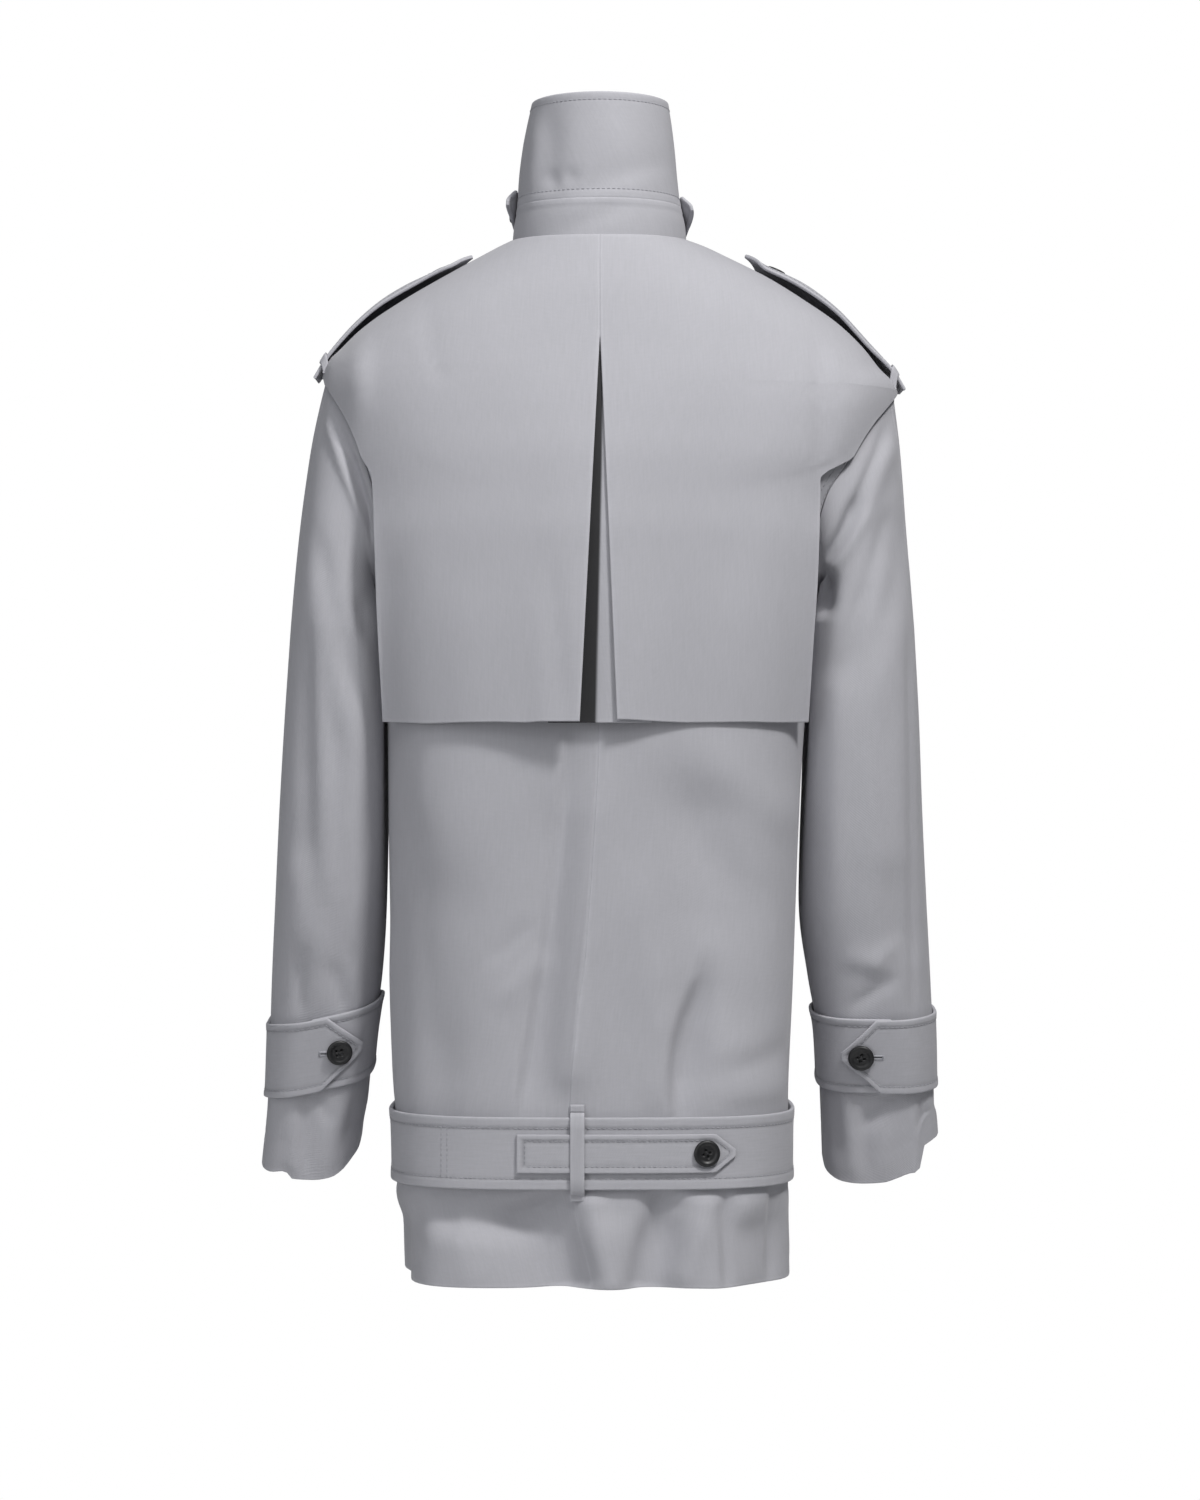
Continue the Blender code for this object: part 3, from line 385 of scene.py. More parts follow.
def add_group(tree, group, place, settings):
    """A node that runs one of the groups above at a place, with some inputs set by name."""
    node = tree.nodes.new("ShaderNodeGroup")
    node.node_tree = group
    tree.links.new(place, node.inputs["Place"])
    for label, value in settings.items():
        node.inputs[label].default_value = value
    return node


def add_bump(tree, height, strength, distance):
    """A Bump node on the shader's normal; distance is in metres."""
    node = tree.nodes.new("ShaderNodeBump")
    for label, value in (("Strength", strength), ("Distance", distance), ("Height", height)):
        feed(tree, value, node.inputs[label])
    tree.links.new(node.outputs["Normal"], tree.nodes["Principled BSDF"].inputs["Normal"])


def on_cloth(tree):
    """The place on the cloth, from the UV map that follows the panel."""
    node = tree.nodes.new("ShaderNodeUVMap")
    node.uv_map = "cloth"
    return node.outputs["UV"]


def on_object(tree):
    """The place on an object, in its own metres."""
    return tree.nodes.new("ShaderNodeTexCoord").outputs["Object"]


def stored(tree, name):
    """A value that the mesh stores at its points."""
    node = tree.nodes.new("ShaderNodeAttribute")
    node.attribute_name = name
    return node.outputs["Fac"]


def grey_of(tree, value):
    """A grey colour with one value in its three channels."""
    node = tree.nodes.new("ShaderNodeCombineColor")
    for channel in ("Red", "Green", "Blue"):
        tree.links.new(value, node.inputs[channel])
    return node.outputs["Color"]


# %% Cloth materials
CLOTH_SHEEN = {"Specular IOR Level": 0.28, "Sheen Weight": 0.16, "Sheen Roughness": 0.45}


def cloth_finish(name, colour, slub, roughness):
    """Gabardine: a Principled shader with sheen, fed by the weave and mottle groups, by the group that
    lightens worn edges, partly as a painted highlight, and by the painted shade stored in the mesh.
    """
    material, tree, shader = new_material(name, CLOTH_SHEEN)
    place = on_cloth(tree)
    weave = add_group(tree, twill, place, {"Slub": slub})
    cloud = add_group(tree, mottle, place, {"Strength": 0.09})
    # Edges up to 22% lighter: worn cloth, and a painted highlight on the raised edges.
    worn_and_lit_colour = tuple(min(1, 1.22 * c) for c in colour) + (1,)
    settings = {"Colour": (*colour, 1), "Worn and Lit Colour": worn_and_lit_colour, "Amount": 0.8}
    rubbed_and_lit_node = add_group(tree, wear_and_highlight, place, settings)
    tree.links.new(stored(tree, "edge"), rubbed_and_lit_node.inputs["Edge"])
    tone = maths(tree, "ADD", maths(tree, "MULTIPLY", weave.outputs["Tone"], 0.55), 0.725)
    tone = maths(tree, "MULTIPLY", tone, cloud.outputs["Tone"])
    # Painted shade stored in the mesh darkens the colour, for stitched grooves, the cape's seam and the
    # pleat's cavity.
    tone = maths(tree, "MULTIPLY", tone, stored(tree, "painted_shade"))
    tinted = mix_colour(tree, 1.0, rubbed_and_lit_node.outputs["Colour"], grey_of(tree, tone), "MULTIPLY")
    tree.links.new(tinted, shader.inputs["Base Color"])
    add_bump(tree, weave.outputs["Height"], 0.32, 0.0005)
    rough = maths(tree, "ADD", maths(tree, "MULTIPLY", weave.outputs["Tone"], 0.12), roughness - 0.06)
    tree.links.new(rough, shader.inputs["Roughness"])
    return material


GREY = (0.409, 0.408, 0.439)
gabardine = cloth_finish("coat_gabardine", GREY, 0.42, 0.82)
# The straps use the coat's own cloth, with painted shade making it 3% darker, and a little more slub and
# roughness.
shaded_strap_gabardine = cloth_finish("shaded_strap_gabardine", tuple(0.97 * c for c in GREY), 0.5, 0.84)
print("cloth materials:", gabardine.name, shaded_strap_gabardine.name)

# %% [markdown]
# ## A shell of cloth
# Every piece of cloth here is a thin closed shell: an outer face, an inner face and a rim. The
# points come from a surface function. Near an edge the points lie closer together, so that the edge
# can roll over softly and the sewn margin can stand a little proud of the cloth, with a shallow
# groove where the stitches pull it down; painted shade darkens that groove. Building the arrays
# with numpy is quick, and the faces are handed to Blender in one go.

# %% Spacing, with more points at the edges
EDGE_STEPS = (0, 0.35, 0.9, 1.8, 3.2, 4.8, 6.2, 7.6, 9.4, 12)
EDGE_ROOM = 2.6  # a stretch shorter than this many times its edge steps gets smaller steps


def shares(length, cell, first=True, last=True):
    """Shares from 0 to 1 along a stretch of cloth, closer together near its edges."""
    start = np.array(EDGE_STEPS if first else (0,), float)
    finish = np.array(EDGE_STEPS if last else (0,), float)
    crowded = EDGE_ROOM * (start[-1] + finish[-1])
    if length < crowded:
        shrink = length / max(crowded, EDGE_ROOM)
        start, finish = start * shrink, finish * shrink
    middle = length - start[-1] - finish[-1]
    count = max(2, round(middle / cell))
    inside = np.linspace(start[-1], length - finish[-1], count + 1)[1:-1]
    return np.concatenate([start, inside, (length - finish)[::-1]]) / length


def edge_distances(points):
    """How far each point of a grid is from its four edges, along the cloth: left, right, first, last."""
    across = np.linalg.norm(np.diff(points, axis=1), axis=-1)
    down = np.linalg.norm(np.diff(points, axis=0), axis=-1)
    left = np.concatenate([np.zeros((len(points), 1)), np.cumsum(across, 1)], 1)
    first = np.concatenate([np.zeros((1, points.shape[1])), np.cumsum(down, 0)], 0)
    return left, left[:, -1:] - left, first, first[-1:] - first


print("spacing of a 60 mm strap:", len(shares(60, 4)), "points")


# %% Building the shell
def quads_of(index):
    """The four-cornered faces between the points of a grid of point numbers."""
    return np.stack([index[:-1, :-1], index[:-1, 1:], index[1:, 1:], index[1:, :-1]], -1).reshape(-1, 4)


def numbered(rows, columns, closed=False):
    """The point numbers of a grid; closed repeats the first column at the end."""
    index = np.arange(rows * columns).reshape(rows, columns)
    return np.concatenate([index, index[:, :1]], 1) if closed else index


def mesh_from(name, points, faces, uv=None, attributes=None):
    """A smooth mesh object from arrays of points in millimetres and four-cornered faces."""
    mesh = bpy.data.meshes.new(name)
    mesh.from_pydata((points * MM).tolist(), [], faces.tolist())
    if uv is not None:
        layer = mesh.uv_layers.new(name="cloth")
        corner = np.empty(len(mesh.loops), np.int32)
        mesh.loops.foreach_get("vertex_index", corner)
        layer.data.foreach_set("uv", uv[corner].astype(np.float32).ravel())
    for label, values in (attributes or {}).items():
        mesh.attributes.new(label, "FLOAT", "POINT").data.foreach_set("value", values.astype(np.float32))
    mesh.shade_smooth()
    mesh.update()
    made = bpy.data.objects.new(name, mesh)
    bpy.context.scene.collection.objects.link(made)
    return made


MARGIN_RIDGE, MARGIN_GROOVE, PUCKER = 0.6, 0.65, 0.24


def shell(
    name, points, normals, thick, relief=0.0, painted_shade=1.0, margin=None, turned=False, roll=0.55, flush=0.0
):
    """A closed shell whose outer face is points + relief; margin is the width of its sewn edges.

    Its edges roll over, but not where flush is 1, because a seam joins them to the next piece.
    turned lays the grain along the rows, for a strap cut lengthwise.
    """
    rows, columns = points.shape[:2]
    left, right, first, last = edge_distances(points)
    nearest = np.minimum(np.minimum(left, right), np.minimum(first, last))
    tuck = roll * (1 - flush) * (1 - np.sqrt(1 - np.clip(1 - nearest / (1.6 * roll), 0, 1) ** 2))
    out = relief - tuck
    if margin:
        groove = hill(nearest, margin, 1.2)
        run = left if turned else first
        pucker = PUCKER * np.sin(run / 1.7 + 1.9 * np.sin(run / 9.3)) * hill(nearest, margin + 1, 2.6)
        ridge = ramp(-nearest, -margin - 1.2, -margin + 0.8)
        out = out + MARGIN_RIDGE * ridge - MARGIN_GROOVE * groove + pucker
        # painted shade, 20% darker along the stitched groove
        painted_shade = painted_shade * (1 - 0.2 * groove)
    outer = points + normals * np.asarray(out)[..., None]
    inner = points - normals * (thick - tuck - np.asarray(relief) * np.ones_like(tuck))[..., None]
    every = np.concatenate([outer.reshape(-1, 3), inner.reshape(-1, 3)])
    index, half = numbered(rows, columns), rows * columns
    face = quads_of(index)
    rim = np.concatenate([index[0, :-1], index[:-1, -1], index[-1, :0:-1], index[:0:-1, 0]])
    after = np.roll(rim, -1)
    walls = np.stack([after, rim, rim + half, after + half], -1)
    faces = np.concatenate([face, face[:, ::-1] + half, walls])
    i, j = rows // 2, columns // 2
    facing = np.cross(points[i, j] - points[i, j - 1], points[i, j] - points[i - 1, j])
    if np.dot(facing, normals[i, j]) < 0:
        faces = faces[:, ::-1]
    uv = np.stack([left, first], -1).reshape(-1, 2) * MM
    if turned:
        uv = uv[:, ::-1]
    attributes = {
        # edge: how near the rim a point is; it sets the worn and painted-highlight lightening of the edges.
        "edge": np.tile((1 - ramp(nearest, 0.4, 3.5)).ravel(), 2),
        # painted_shade: a painted darkening of the colour, 1 where none is painted.
        "painted_shade": np.tile((painted_shade * np.ones_like(nearest)).ravel(), 2),
    }
    return mesh_from(name, every, faces, np.tile(uv, (2, 1)), attributes)


# %% Placing a piece in the frame
def dress(piece, material, slot, *nodes):
    """Gives a piece its material and its place in the frame; it then stands for those solids."""
    piece.data.materials.append(material)
    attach(piece, "root")
    if nodes:
        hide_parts(*nodes)
    return piece


def sheet(piece, points):
    """Measures a piece's flat size and area from its own grid, and prints them."""
    left, _, first, _ = edge_distances(points)
    wide, long = left[:, -1].max() * MM, first[-1].max() * MM
    across, down = np.diff(points, axis=1)[:-1], np.diff(points, axis=0)[:, :-1]
    area = np.linalg.norm(np.cross(across, down), axis=-1).sum() * MM * MM
    if long < 0.012:
        long = 2 * long
    area = min(max(area, 0.3 * wide * long), wide * long)
    print(f"{piece.name}: {len(piece.data.polygons)} faces, flat {wide:.3f} x {long:.3f} m, {area:.4f} m2")


strap_faces = {}


def pointed(left_over, length, tip, half):
    """A strap's half width: it narrows evenly to its tip over the length of its pointed end."""
    return tip + (half - tip) * np.clip(left_over / length, 0, 1)


def panel(node, ending, outer, normal, thick, relief=0.0, painted_shade=1.0, held="hung", **look):
    """A panel of coat cloth in the place of a solid."""
    piece = shell(f"{node}_{ending}", outer, normal, thick, relief, painted_shade, **look)
    sheet(dress(piece, gabardine, "coat_cloth", node), outer)


def strap(node, ending, outer, normal, thick, margin=None, roll=0.8, turned=True):
    """A strap in the place of a solid; if it has a margin, it is topstitched there later on."""
    piece = shell(f"{node}_{ending}", outer, normal, thick, margin=margin, turned=turned, roll=roll)
    if margin:
        strap_faces[node] = outer, normal, margin
    sheet(dress(piece, shaded_strap_gabardine, "strap_cloth", node), outer)


# %% [markdown]
# ## The body's form
# The body is a stack of rings. Each is a rounded oval whose half widths differ on its two sides, as
# the coat hangs a little unevenly. The rings dip at the front, where a neck seam sits lower. The large
# folds of the solids belong to this form, and the finer creases come on top of it.

# %% Rings of the body
BODY = table(
    "height left right back front square",
    (-823, 160, 151, 122, 130, 3.8),
    (-747, 162, 150, 118, 127, 3.4),
    (-691, 163.5, 150.5, 117, 126, 3.3),
    (-600, 166.5, 154, 117, 127, 3.2),
    (-500, 168.5, 158, 119, 129, 3.1),
    (-385, 170, 164, 124, 132, 3.0),
    (-290, 174, 170, 128, 132, 2.8),
    (-240, 189, 185, 128, 129, 2.65),
    (-208, 199, 200, 126, 124, 2.6),
    (-180, 209, 219, 124, 120, 2.55),
    (-150, 216, 229, 119, 113, 2.5),
    (-121, 220, 235, 113, 106, 2.45),
    (-104, 218, 221, 108, 101, 2.4),
    (-86, 203, 207, 103, 96, 2.35),
    (-69, 184, 189, 98, 93, 2.3),
    (-50, 156, 162, 92, 90, 2.2),
    (-33, 127, 135, 85, 87, 2.1),
    (-16, 96, 101, 77, 84, 2.05),
    (-8, 81, 84, 73, 83, 2.0),
    (NECK, 70.5, 69.5, 70, 82, 2.0),
)
BODY_FOLDS = table(
    "turn_top turn_bottom top bottom width height",
    (3, 13, -400, -700, 9, 6),          # ridge down from the pleat, beside the centre seam
    (17, 25, -420, -690, 7, -3),        # the hollow along its shaded side
    (-36, -38, -400, -590, 14, -6),     # broad hollow
    (-30, -32, -540, -690, 7, -5),      # crease above the belt
    (-46, -47, -600, -690, 8, 4),
    (46, 48, -480, -690, 8, -4),
    (118, 114, -420, -690, 10, -5),     # hidden front
    (-122, -118, -400, -690, 10, -5),
    (30, 15, -747, -880, 9, -7),        # below the belt
    (-3, -4, -747, -880, 10, 6),
    (-25, -19, -747, -880, 8, -7),
    (-36, -38, -747, -880, 7, 6),
    (-53, -54, -747, -880, 11, -11),
    (50, 46, -747, -880, 8, 3),
    (76, 76, -747, -880, 15, -11),
    (112, 108, -747, -880, 10, -4),
    (-105, -110, -747, -880, 10, -6),
)


def body_folds(turn, height):
    """How far the folds move the body's cloth out; they vanish where the belt holds it."""
    out = np.zeros(np.broadcast(turn, height).shape)
    for top_turn, low_turn, top, bottom, width, size in zip(*BODY_FOLDS.values()):
        along = np.clip((height - top) / (bottom - top), 0, 1)
        aside = (turn - (top_turn + (low_turn - top_turn) * along) + 180) % 360 - 180
        grown = ramp(height, bottom, bottom + 60) * ramp(-height, -top, -top + 60)
        if top < BELT_TOP:
            grown = ramp(-height, -top, -top + 45)
        out = out + size * grown * hill(aside, 0, width)
    return out * ramp(abs(height - (BELT_TOP + BELT_BOTTOM) / 2), 32, 62)


CENTRE_SEAM = table(
    "height turn",
    (HEM, 3), (BELT_BOTTOM, 10), (BELT_TOP, 11.3), (-616, 8.2), (-560, 5), (CAPE_HEM, 0.3), (-300, 0),
)


def side_of(side):
    """The name of a side's column."""
    return "left" if side == LEFT else "right"


def ring_sizes(rows, turn, height):
    """Half width and half depth of a table's ring, on the side that a turn is on."""
    angle = np.radians(turn)
    across = np.where(np.sin(angle) >= 0, read(rows, "left", height), read(rows, "right", height))
    deep = np.where(np.cos(angle) >= 0, read(rows, "back", height), read(rows, "front", height))
    return across, deep


def drop_at_front(turn, height):
    """The rings dip at the front, so that the neck seam is lower there than at the back."""
    faded = np.clip((height - NECK_DROP_ENDS) / (NECK - NECK_DROP_ENDS), 0, 1) ** 2
    return NECK_DROP * faded * np.clip(-np.cos(np.radians(turn)), 0, 1) ** 2


def body_point(turn, height):
    """A point of the body's outer face, at a turn and a height."""
    turn, height = np.broadcast_arrays(np.asarray(turn, float), np.asarray(height, float))
    angle = np.radians(turn)
    across, deep = ring_sizes(BODY, turn, height)
    square = read(BODY, "square", height)
    bare = (abs(np.sin(angle) / across) ** square + abs(np.cos(angle) / deep) ** square) ** (-1 / square)
    radius = bare + body_folds(turn, height)
    z = height - drop_at_front(turn, height)
    return vec(radius * np.sin(angle), radius * np.cos(angle), z)


def body_side(side, y, height):
    """How far out the body's ring reaches on one side, at a given depth."""
    across = read(BODY, side_of(side), height)
    deep = np.where(y > 0, read(BODY, "back", height), read(BODY, "front", height))
    square = read(BODY, "square", height)
    inside = np.clip(1 - (abs(y) / deep) ** square, 0, None)
    bare = across * inside ** (1 / square)
    turn = side * bearing(bare, y)
    return bare + np.clip(body_folds(turn, height), 0, None)


def turn_at(side, x, height):
    """The turn at which the back of the ring is x millimetres out."""
    across = read(BODY, side_of(side), height)
    square = read(BODY, "square", height)
    y = read(BODY, "back", height) * np.clip(1 - (abs(x) / across) ** square, 0, None) ** (1 / square)
    return bearing(x, y)


def body_normal(turn, height):
    """The body's outward direction there."""
    return normal_of(body_point, np.asarray(turn, float), np.clip(height, HEM + 1, NECK - 0.6))


def on_body(turn, height, lift):
    """A point that stands off the body by a lift."""
    return body_point(turn, height) + body_normal(turn, height) * np.asarray(lift)[..., None]


def edge_turn(side, height, depth_name):
    """Where a panel ends: at the side seam, the armhole's edge or the shoulder seam."""
    tip = SHOULDER_TIP[side]
    level = np.clip((height - (tip + ARMPIT) / 2) / ((tip - ARMPIT) / 2), -1, 1)
    y = ARMHOLE_DEPTH[depth_name] * np.sqrt(1 - level**2)
    y = y if depth_name == "back" else -y
    x = body_side(side, y, height)
    turn = bearing(x, y)
    seam = np.degrees(SEAM / 2 / x)
    return turn - seam if depth_name == "back" else turn + seam


def even_turns(share, start, end, height):
    """Turns between two edges, closer together where the ring bends most, near the shoulder."""
    flat = read(BODY, "left", height) / read(BODY, "back", height)
    first, last = (np.arctan2(np.sin(np.radians(a)) / flat, np.cos(np.radians(a))) for a in (start, end))
    middle = first + (last - first) * share
    return bearing(flat * np.sin(middle), np.cos(middle))


def over_edge(height):
    """How far the over front passes the centre: less at the neck, where it is folded closed."""
    return 30 + 48 * ramp(-height, 20, 150)


ring = body_point(np.linspace(-180, 180, 181), -680.0)
print("girth above the belt:", round(float(np.linalg.norm(np.diff(ring, axis=0), axis=1).sum())), "mm")

# %% [markdown]
# ## Creases of the body
# Below the cape the cloth is dragged towards the belt loop: a long fold with a sharp left side
# runs down beside the centre seam, broad hollows lie to the right, and short creases stand where the
# belt gathers the cloth. Below the belt the hem flares in deep uneven flutes. The hidden front gets
# creases of the same kinds.

# %% Tables of body creases
BACK_CREASES = table(
    CREASE,
    (-5, -390, 20, -684, -5, 12, 14, 2.8, 0.2),  # the long fold's crest, beside the centre seam
    (26, -416, 63, -687, -3, 3, 31, -6.4, 0.12),  # its shaded side, sharp on the left
    (9, -523, 22, -678, 2, 2, 2, 0.8, 0.14),  # a narrow ridge along the seam
    (-82, -416, -155, -467, 0, 20, 20, 3.2, 0.3),  # a slack fold from the cape's edge
    (-56, -438, -125, -527, 6, 23, 20, -3.2, 0.3),
    (-114, -523, -118, -631, 0, 20, 20, -2.0, 0.3),
    (-31, -508, -53, -608, 6, 26, 19, 2.4, 0.3),
    (-78, -586, -60, -687, 7, 4, 19, -9.5, 0.3),  # a sharp crease above the belt
    (-53, -608, -44, -684, 0, 14, 7, 2.0, 0.25),  # its lip
    (-94, -674, -155, -668, 2, 11, 11, 2.2, 0.35),  # cloth slumped over the belt
    (-96, -656, -150, -640, 2, 9, 11, -2.0, 0.35),
    (133, -361, 130, -484, 0, 20, 46, 5.0, 0.35),  # slack cloth under the cape
    (144, -484, 125, -687, 6, 25, 19, -5.0, 0.3),  # the shaded hollow on the left
    (107, -523, 97, -678, 0, 14, 23, 1.6, 0.3),
    (82, -571, 57, -545, 0, 5, 9, -1.4, 0.35),  # a small diagonal pull
    (77, -602, 45, -568, 0, 12, 8, 2.0, 0.3),
    (133, -770, 54, -775, 0, 12, 22, -10, 0.25),  # hollow under the belt, and the flutes of the hem
    (43, -753, 25, -826, 0, 26, 22, -13, 0.12),
    (9, -749, -10, -826, 2, 14, 11, 6.0, 0.12),
    (-49, -750, -32, -826, 0, 12, 19, -9.0, 0.12),
    (-87, -752, -63, -824, 0, 20, 8, 4.5, 0.16),
    (-97, -753, -99, -824, 0, 5, 5, -3.6, 0.2),
    (-113, -753, -118, -824, 0, 9, 9, 2.6, 0.2),
    (-136, -752, -133, -817, 0, 4, 11, -4.2, 0.2),
    (111, -760, 99, -824, 0, 14, 19, 3.0, 0.25),
    (145, -755, 144, -798, 0, 6, 8, -2.2, 0.25),
)
FRONT_CREASES = table(
    CREASE,
    (110, -330, 96, -640, 6, 20, 26, -3.0, 0.25),
    (-112, -360, -98, -660, -5, 24, 18, -2.6, 0.25),
    (-60, -520, -66, -686, 0, 12, 18, -2.4, 0.25),
    (52, -560, 60, -686, 0, 14, 10, 2.0, 0.25),
    (120, -620, 132, -686, 0, 10, 14, -2.4, 0.25),
    (-128, -600, -134, -688, 0, 14, 9, 2.2, 0.25),
    (96, -752, 104, -822, 0, 12, 16, -2.4, 0.25),
    (-40, -752, -30, -822, 0, 14, 10, 2.0, 0.25),
    (-104, -752, -112, -822, 0, 10, 14, -2.6, 0.25),
)
SIDE_CREASES = table(
    CREASE,
    (-20, -420, 10, -680, 6, 18, 22, -2.4, 0.25),
    (40, -560, 22, -688, 0, 10, 14, 2.0, 0.25),
    (-50, -600, -36, -688, 0, 12, 10, -2.0, 0.25),
    (10, -752, 4, -822, 0, 14, 12, 2.2, 0.25),
)


def smoothed(surface, turn, height):
    """A form with the bend at the shoulder blades eased, and the cloth puffed beside the armholes."""
    point = surface(turn, height)
    near = (np.exp(-(((height + 118) / 34) ** 4)) * ramp(-abs(point[..., 0]), -215, -195))[..., None]
    rows = [surface(turn, height + step) for step in (-20, -10, 0, 10, 20)]
    point = point + near * (sum(rows) / 5 - point)
    x, z = point[..., 0], point[..., 2]
    point[..., 1] += 7 * np.exp(-(((x - 191) / 11) ** 2) - ((z + 112) / 30) ** 2)
    point[..., 1] += 4 * np.exp(-(((x + 200) / 13) ** 2) - ((z + 126) / 36) ** 2)
    return point


def worn_body(turn, height):
    """The body's outer face as worn, with its normal: the solid's form and the creases."""
    point, normal = smoothed(body_point, turn, height), body_normal(turn, height)
    x, y, z = np.moveaxis(point, -1, 0)
    behind = ramp(normal[..., 1], 0.05, 0.45)
    ahead = ramp(-normal[..., 1], 0.05, 0.45)
    held = ramp(abs(height - (BELT_TOP + BELT_BOTTOM) / 2), 27, 40)
    out = behind * pressed(BACK_CREASES, x, z) + ahead * pressed(FRONT_CREASES, x, z)
    out = out + pressed(SIDE_CREASES, np.sign(x) * y, z) * (1 - behind) * (1 - ahead)
    out = np.minimum(out, 0) + np.maximum(out, 0) * held
    return point + normal * out[..., None], normal


# %% Back and front panels
def with_armhole(side, heights, cell):
    """Rows of a grid, rising, with the steps of the armhole's oval let in between them."""
    tip = SHOULDER_TIP[side]
    oval = (tip + ARMPIT) / 2 - (tip - ARMPIT) / 2 * np.cos(np.linspace(0, math.pi, 36))
    kept = np.array([h for h in heights if abs(oval - h).min() > 0.35 * cell])
    return np.sort(np.concatenate([kept, oval[oval > heights.min() + 1]]))


def row_heights(side, cell_low, cell_high):
    """Heights of a panel's rows: even, with the armhole's own steps let in."""
    middle = CAPE_HEM + 20
    low = HEM + shares(middle - HEM, cell_low, True, False) * (middle - HEM)
    high = middle + shares(NECK - middle, cell_high, False, True) * (NECK - middle)
    return np.concatenate([low, with_armhole(side, high[high > low[-1] + 1], cell_high)])


BACK_WIDTH, BACK_RADIUS, BACK_TUCK = 262, 115, 1.2
PUCKERS_FROM, PUCKERS_FULL = -305, -280  # heights between which the armhole's puckers fade in


def back_grid(side):
    """Turns and heights of a back panel; the left one tucks a little under the right one."""
    share, height = np.meshgrid(shares(BACK_WIDTH, 3.3), row_heights(side, 3.2, 5.5))
    tuck = BACK_TUCK if side == LEFT else 0.05
    seam = side * read(CENTRE_SEAM, "turn", height) - math.degrees(tuck / BACK_RADIUS)
    return side * even_turns(share, seam, edge_turn(side, height, "back"), height), height


for word, side in SIDES:
    turn, height = back_grid(side)
    outer, normal = worn_body(turn, height)
    left, right, first, last = edge_distances(outer)
    ease = -(0.8 if side == LEFT else 0.1) * hill(left, 0, 1.6) - 0.35 * hill(right, 0, 1.5)
    pulled = np.sin(first / 1.9 + 2.1 * np.sin(first / 13)) * ramp(height, PUCKERS_FROM, PUCKERS_FULL)
    ease = ease + pulled * (0.34 * hill(right, 5.2, 3.4) + 0.2 * hill(right, 11, 3))
    panel(f"back_{word}", "panel", outer, normal, CLOTH, ease, flush=ramp(first, 0.5, 3))

# %% Fronts
FRONT_WIDTH = 330

for word, side in SIDES:
    share, height = np.meshgrid(shares(FRONT_WIDTH, 6), row_heights(side, 7, 7))
    edge = edge_turn(side, height, "front")
    reach = UNDER_EDGE - 30 * ramp(height, -150, -20) if side == LEFT else over_edge(height)
    last_turn = 180 + bearing(reach, read(BODY, "front", height))
    turn = side * (edge + (last_turn - edge) * share)
    outer, normal = worn_body(turn, height)
    lift = OVERLAP_LIFT * ramp(abs(turn), 132, 150) if side == RIGHT else 0 * turn
    outer = outer + normal * lift[..., None]
    left, right, first, last = edge_distances(outer)
    ease = -0.3 * hill(right, 7, 1.2) - 0.35 * hill(left, 0, 1.5)
    joined = ramp(first, 0.5, 3) * ramp(right, 0.5, 3)
    panel(f"front_{word}", "panel", outer, normal, CLOTH, ease, flush=joined)

# %% [markdown]
# ## Sleeves
# Each sleeve has two pieces, a top and an under one, set into the armhole. The surface starts on
# the armhole's oval and runs into a tube that bends forward a little, as an arm does. The
# drag lines below the armhole and the creases at the elbow and the cuff are pressed in as seen from
# behind, and their like on the hidden side.

# %% The sleeve's form
SLEEVE_ROWS = "down outer inner middle deep tilt square"
SLEEVE = {
    LEFT: table(
        SLEEVE_ROWS,
        (310, 247.5, 160, 0, 72, 0, 2.3),
        (380, 252.5, 158, -2, 70, 1, 2.3),
        (450, 257, 162, -6, 66, 3, 2.3),
        (520, 261, 168, -14, 61, 7, 2.3),
        (590, 265, 175.5, -27, 56, 10, 2.5),
        (640, 267, 183.5, -37, 53, 11, 3.0),
        (690, 269.5, 189, -47, 51, 11, 3.4),
        (742, 275, 195, -57, 50, 11, 3.8),
    ),
    RIGHT: table(
        SLEEVE_ROWS,
        (310, 251.5, 156, 0, 72, 0, 2.3),
        (380, 255.5, 154, -2, 70, 1, 2.3),
        (450, 258.5, 154, -6, 66, 3, 2.3),
        (520, 262.5, 156, -14, 61, 7, 2.3),
        (590, 267, 167.5, -27, 56, 10, 2.5),
        (640, 269.5, 176.5, -37, 53, 11, 3.0),
        (690, 271, 179.5, -47, 51, 11, 3.4),
        (742, 275, 182, -57, 50, 11, 3.8),
    ),
}
SHOULDER_SWELL = {LEFT: 0.25, RIGHT: 0.12}   # how far the sleeve heads swell outwards
TUBE_TOP, SLEEVE_HEM = 310, 742
HIND_SEAM, INNER_SEAM = 22.5, 225
SLEEVE_FOLD_COLUMNS = "around_top around_low top low width height"
SLEEVE_FOLDS = {
    LEFT: table(
        SLEEVE_FOLD_COLUMNS,
        (70, 120, 175, 300, 20, -5),     # drag line below the armhole
        (48, 75, 170, 330, 16, 4),
        (80, 75, 300, 430, 22, -4),
        (60, 70, 490, 570, 20, 4),
        (-60, -100, 230, 330, 22, -5),   # hidden front
        (-80, -90, 420, 560, 24, -4),
    ),
    RIGHT: table(
        SLEEVE_FOLD_COLUMNS,
        (35, 120, 150, 260, 18, 4),
        (60, 130, 190, 310, 18, -5),
        (40, 110, 230, 360, 20, -5),
        (70, 60, 500, 570, 20, -3),
        (-60, -100, 230, 330, 22, -5),   # hidden front
        (-80, -90, 420, 560, 24, -4),
    ),
}


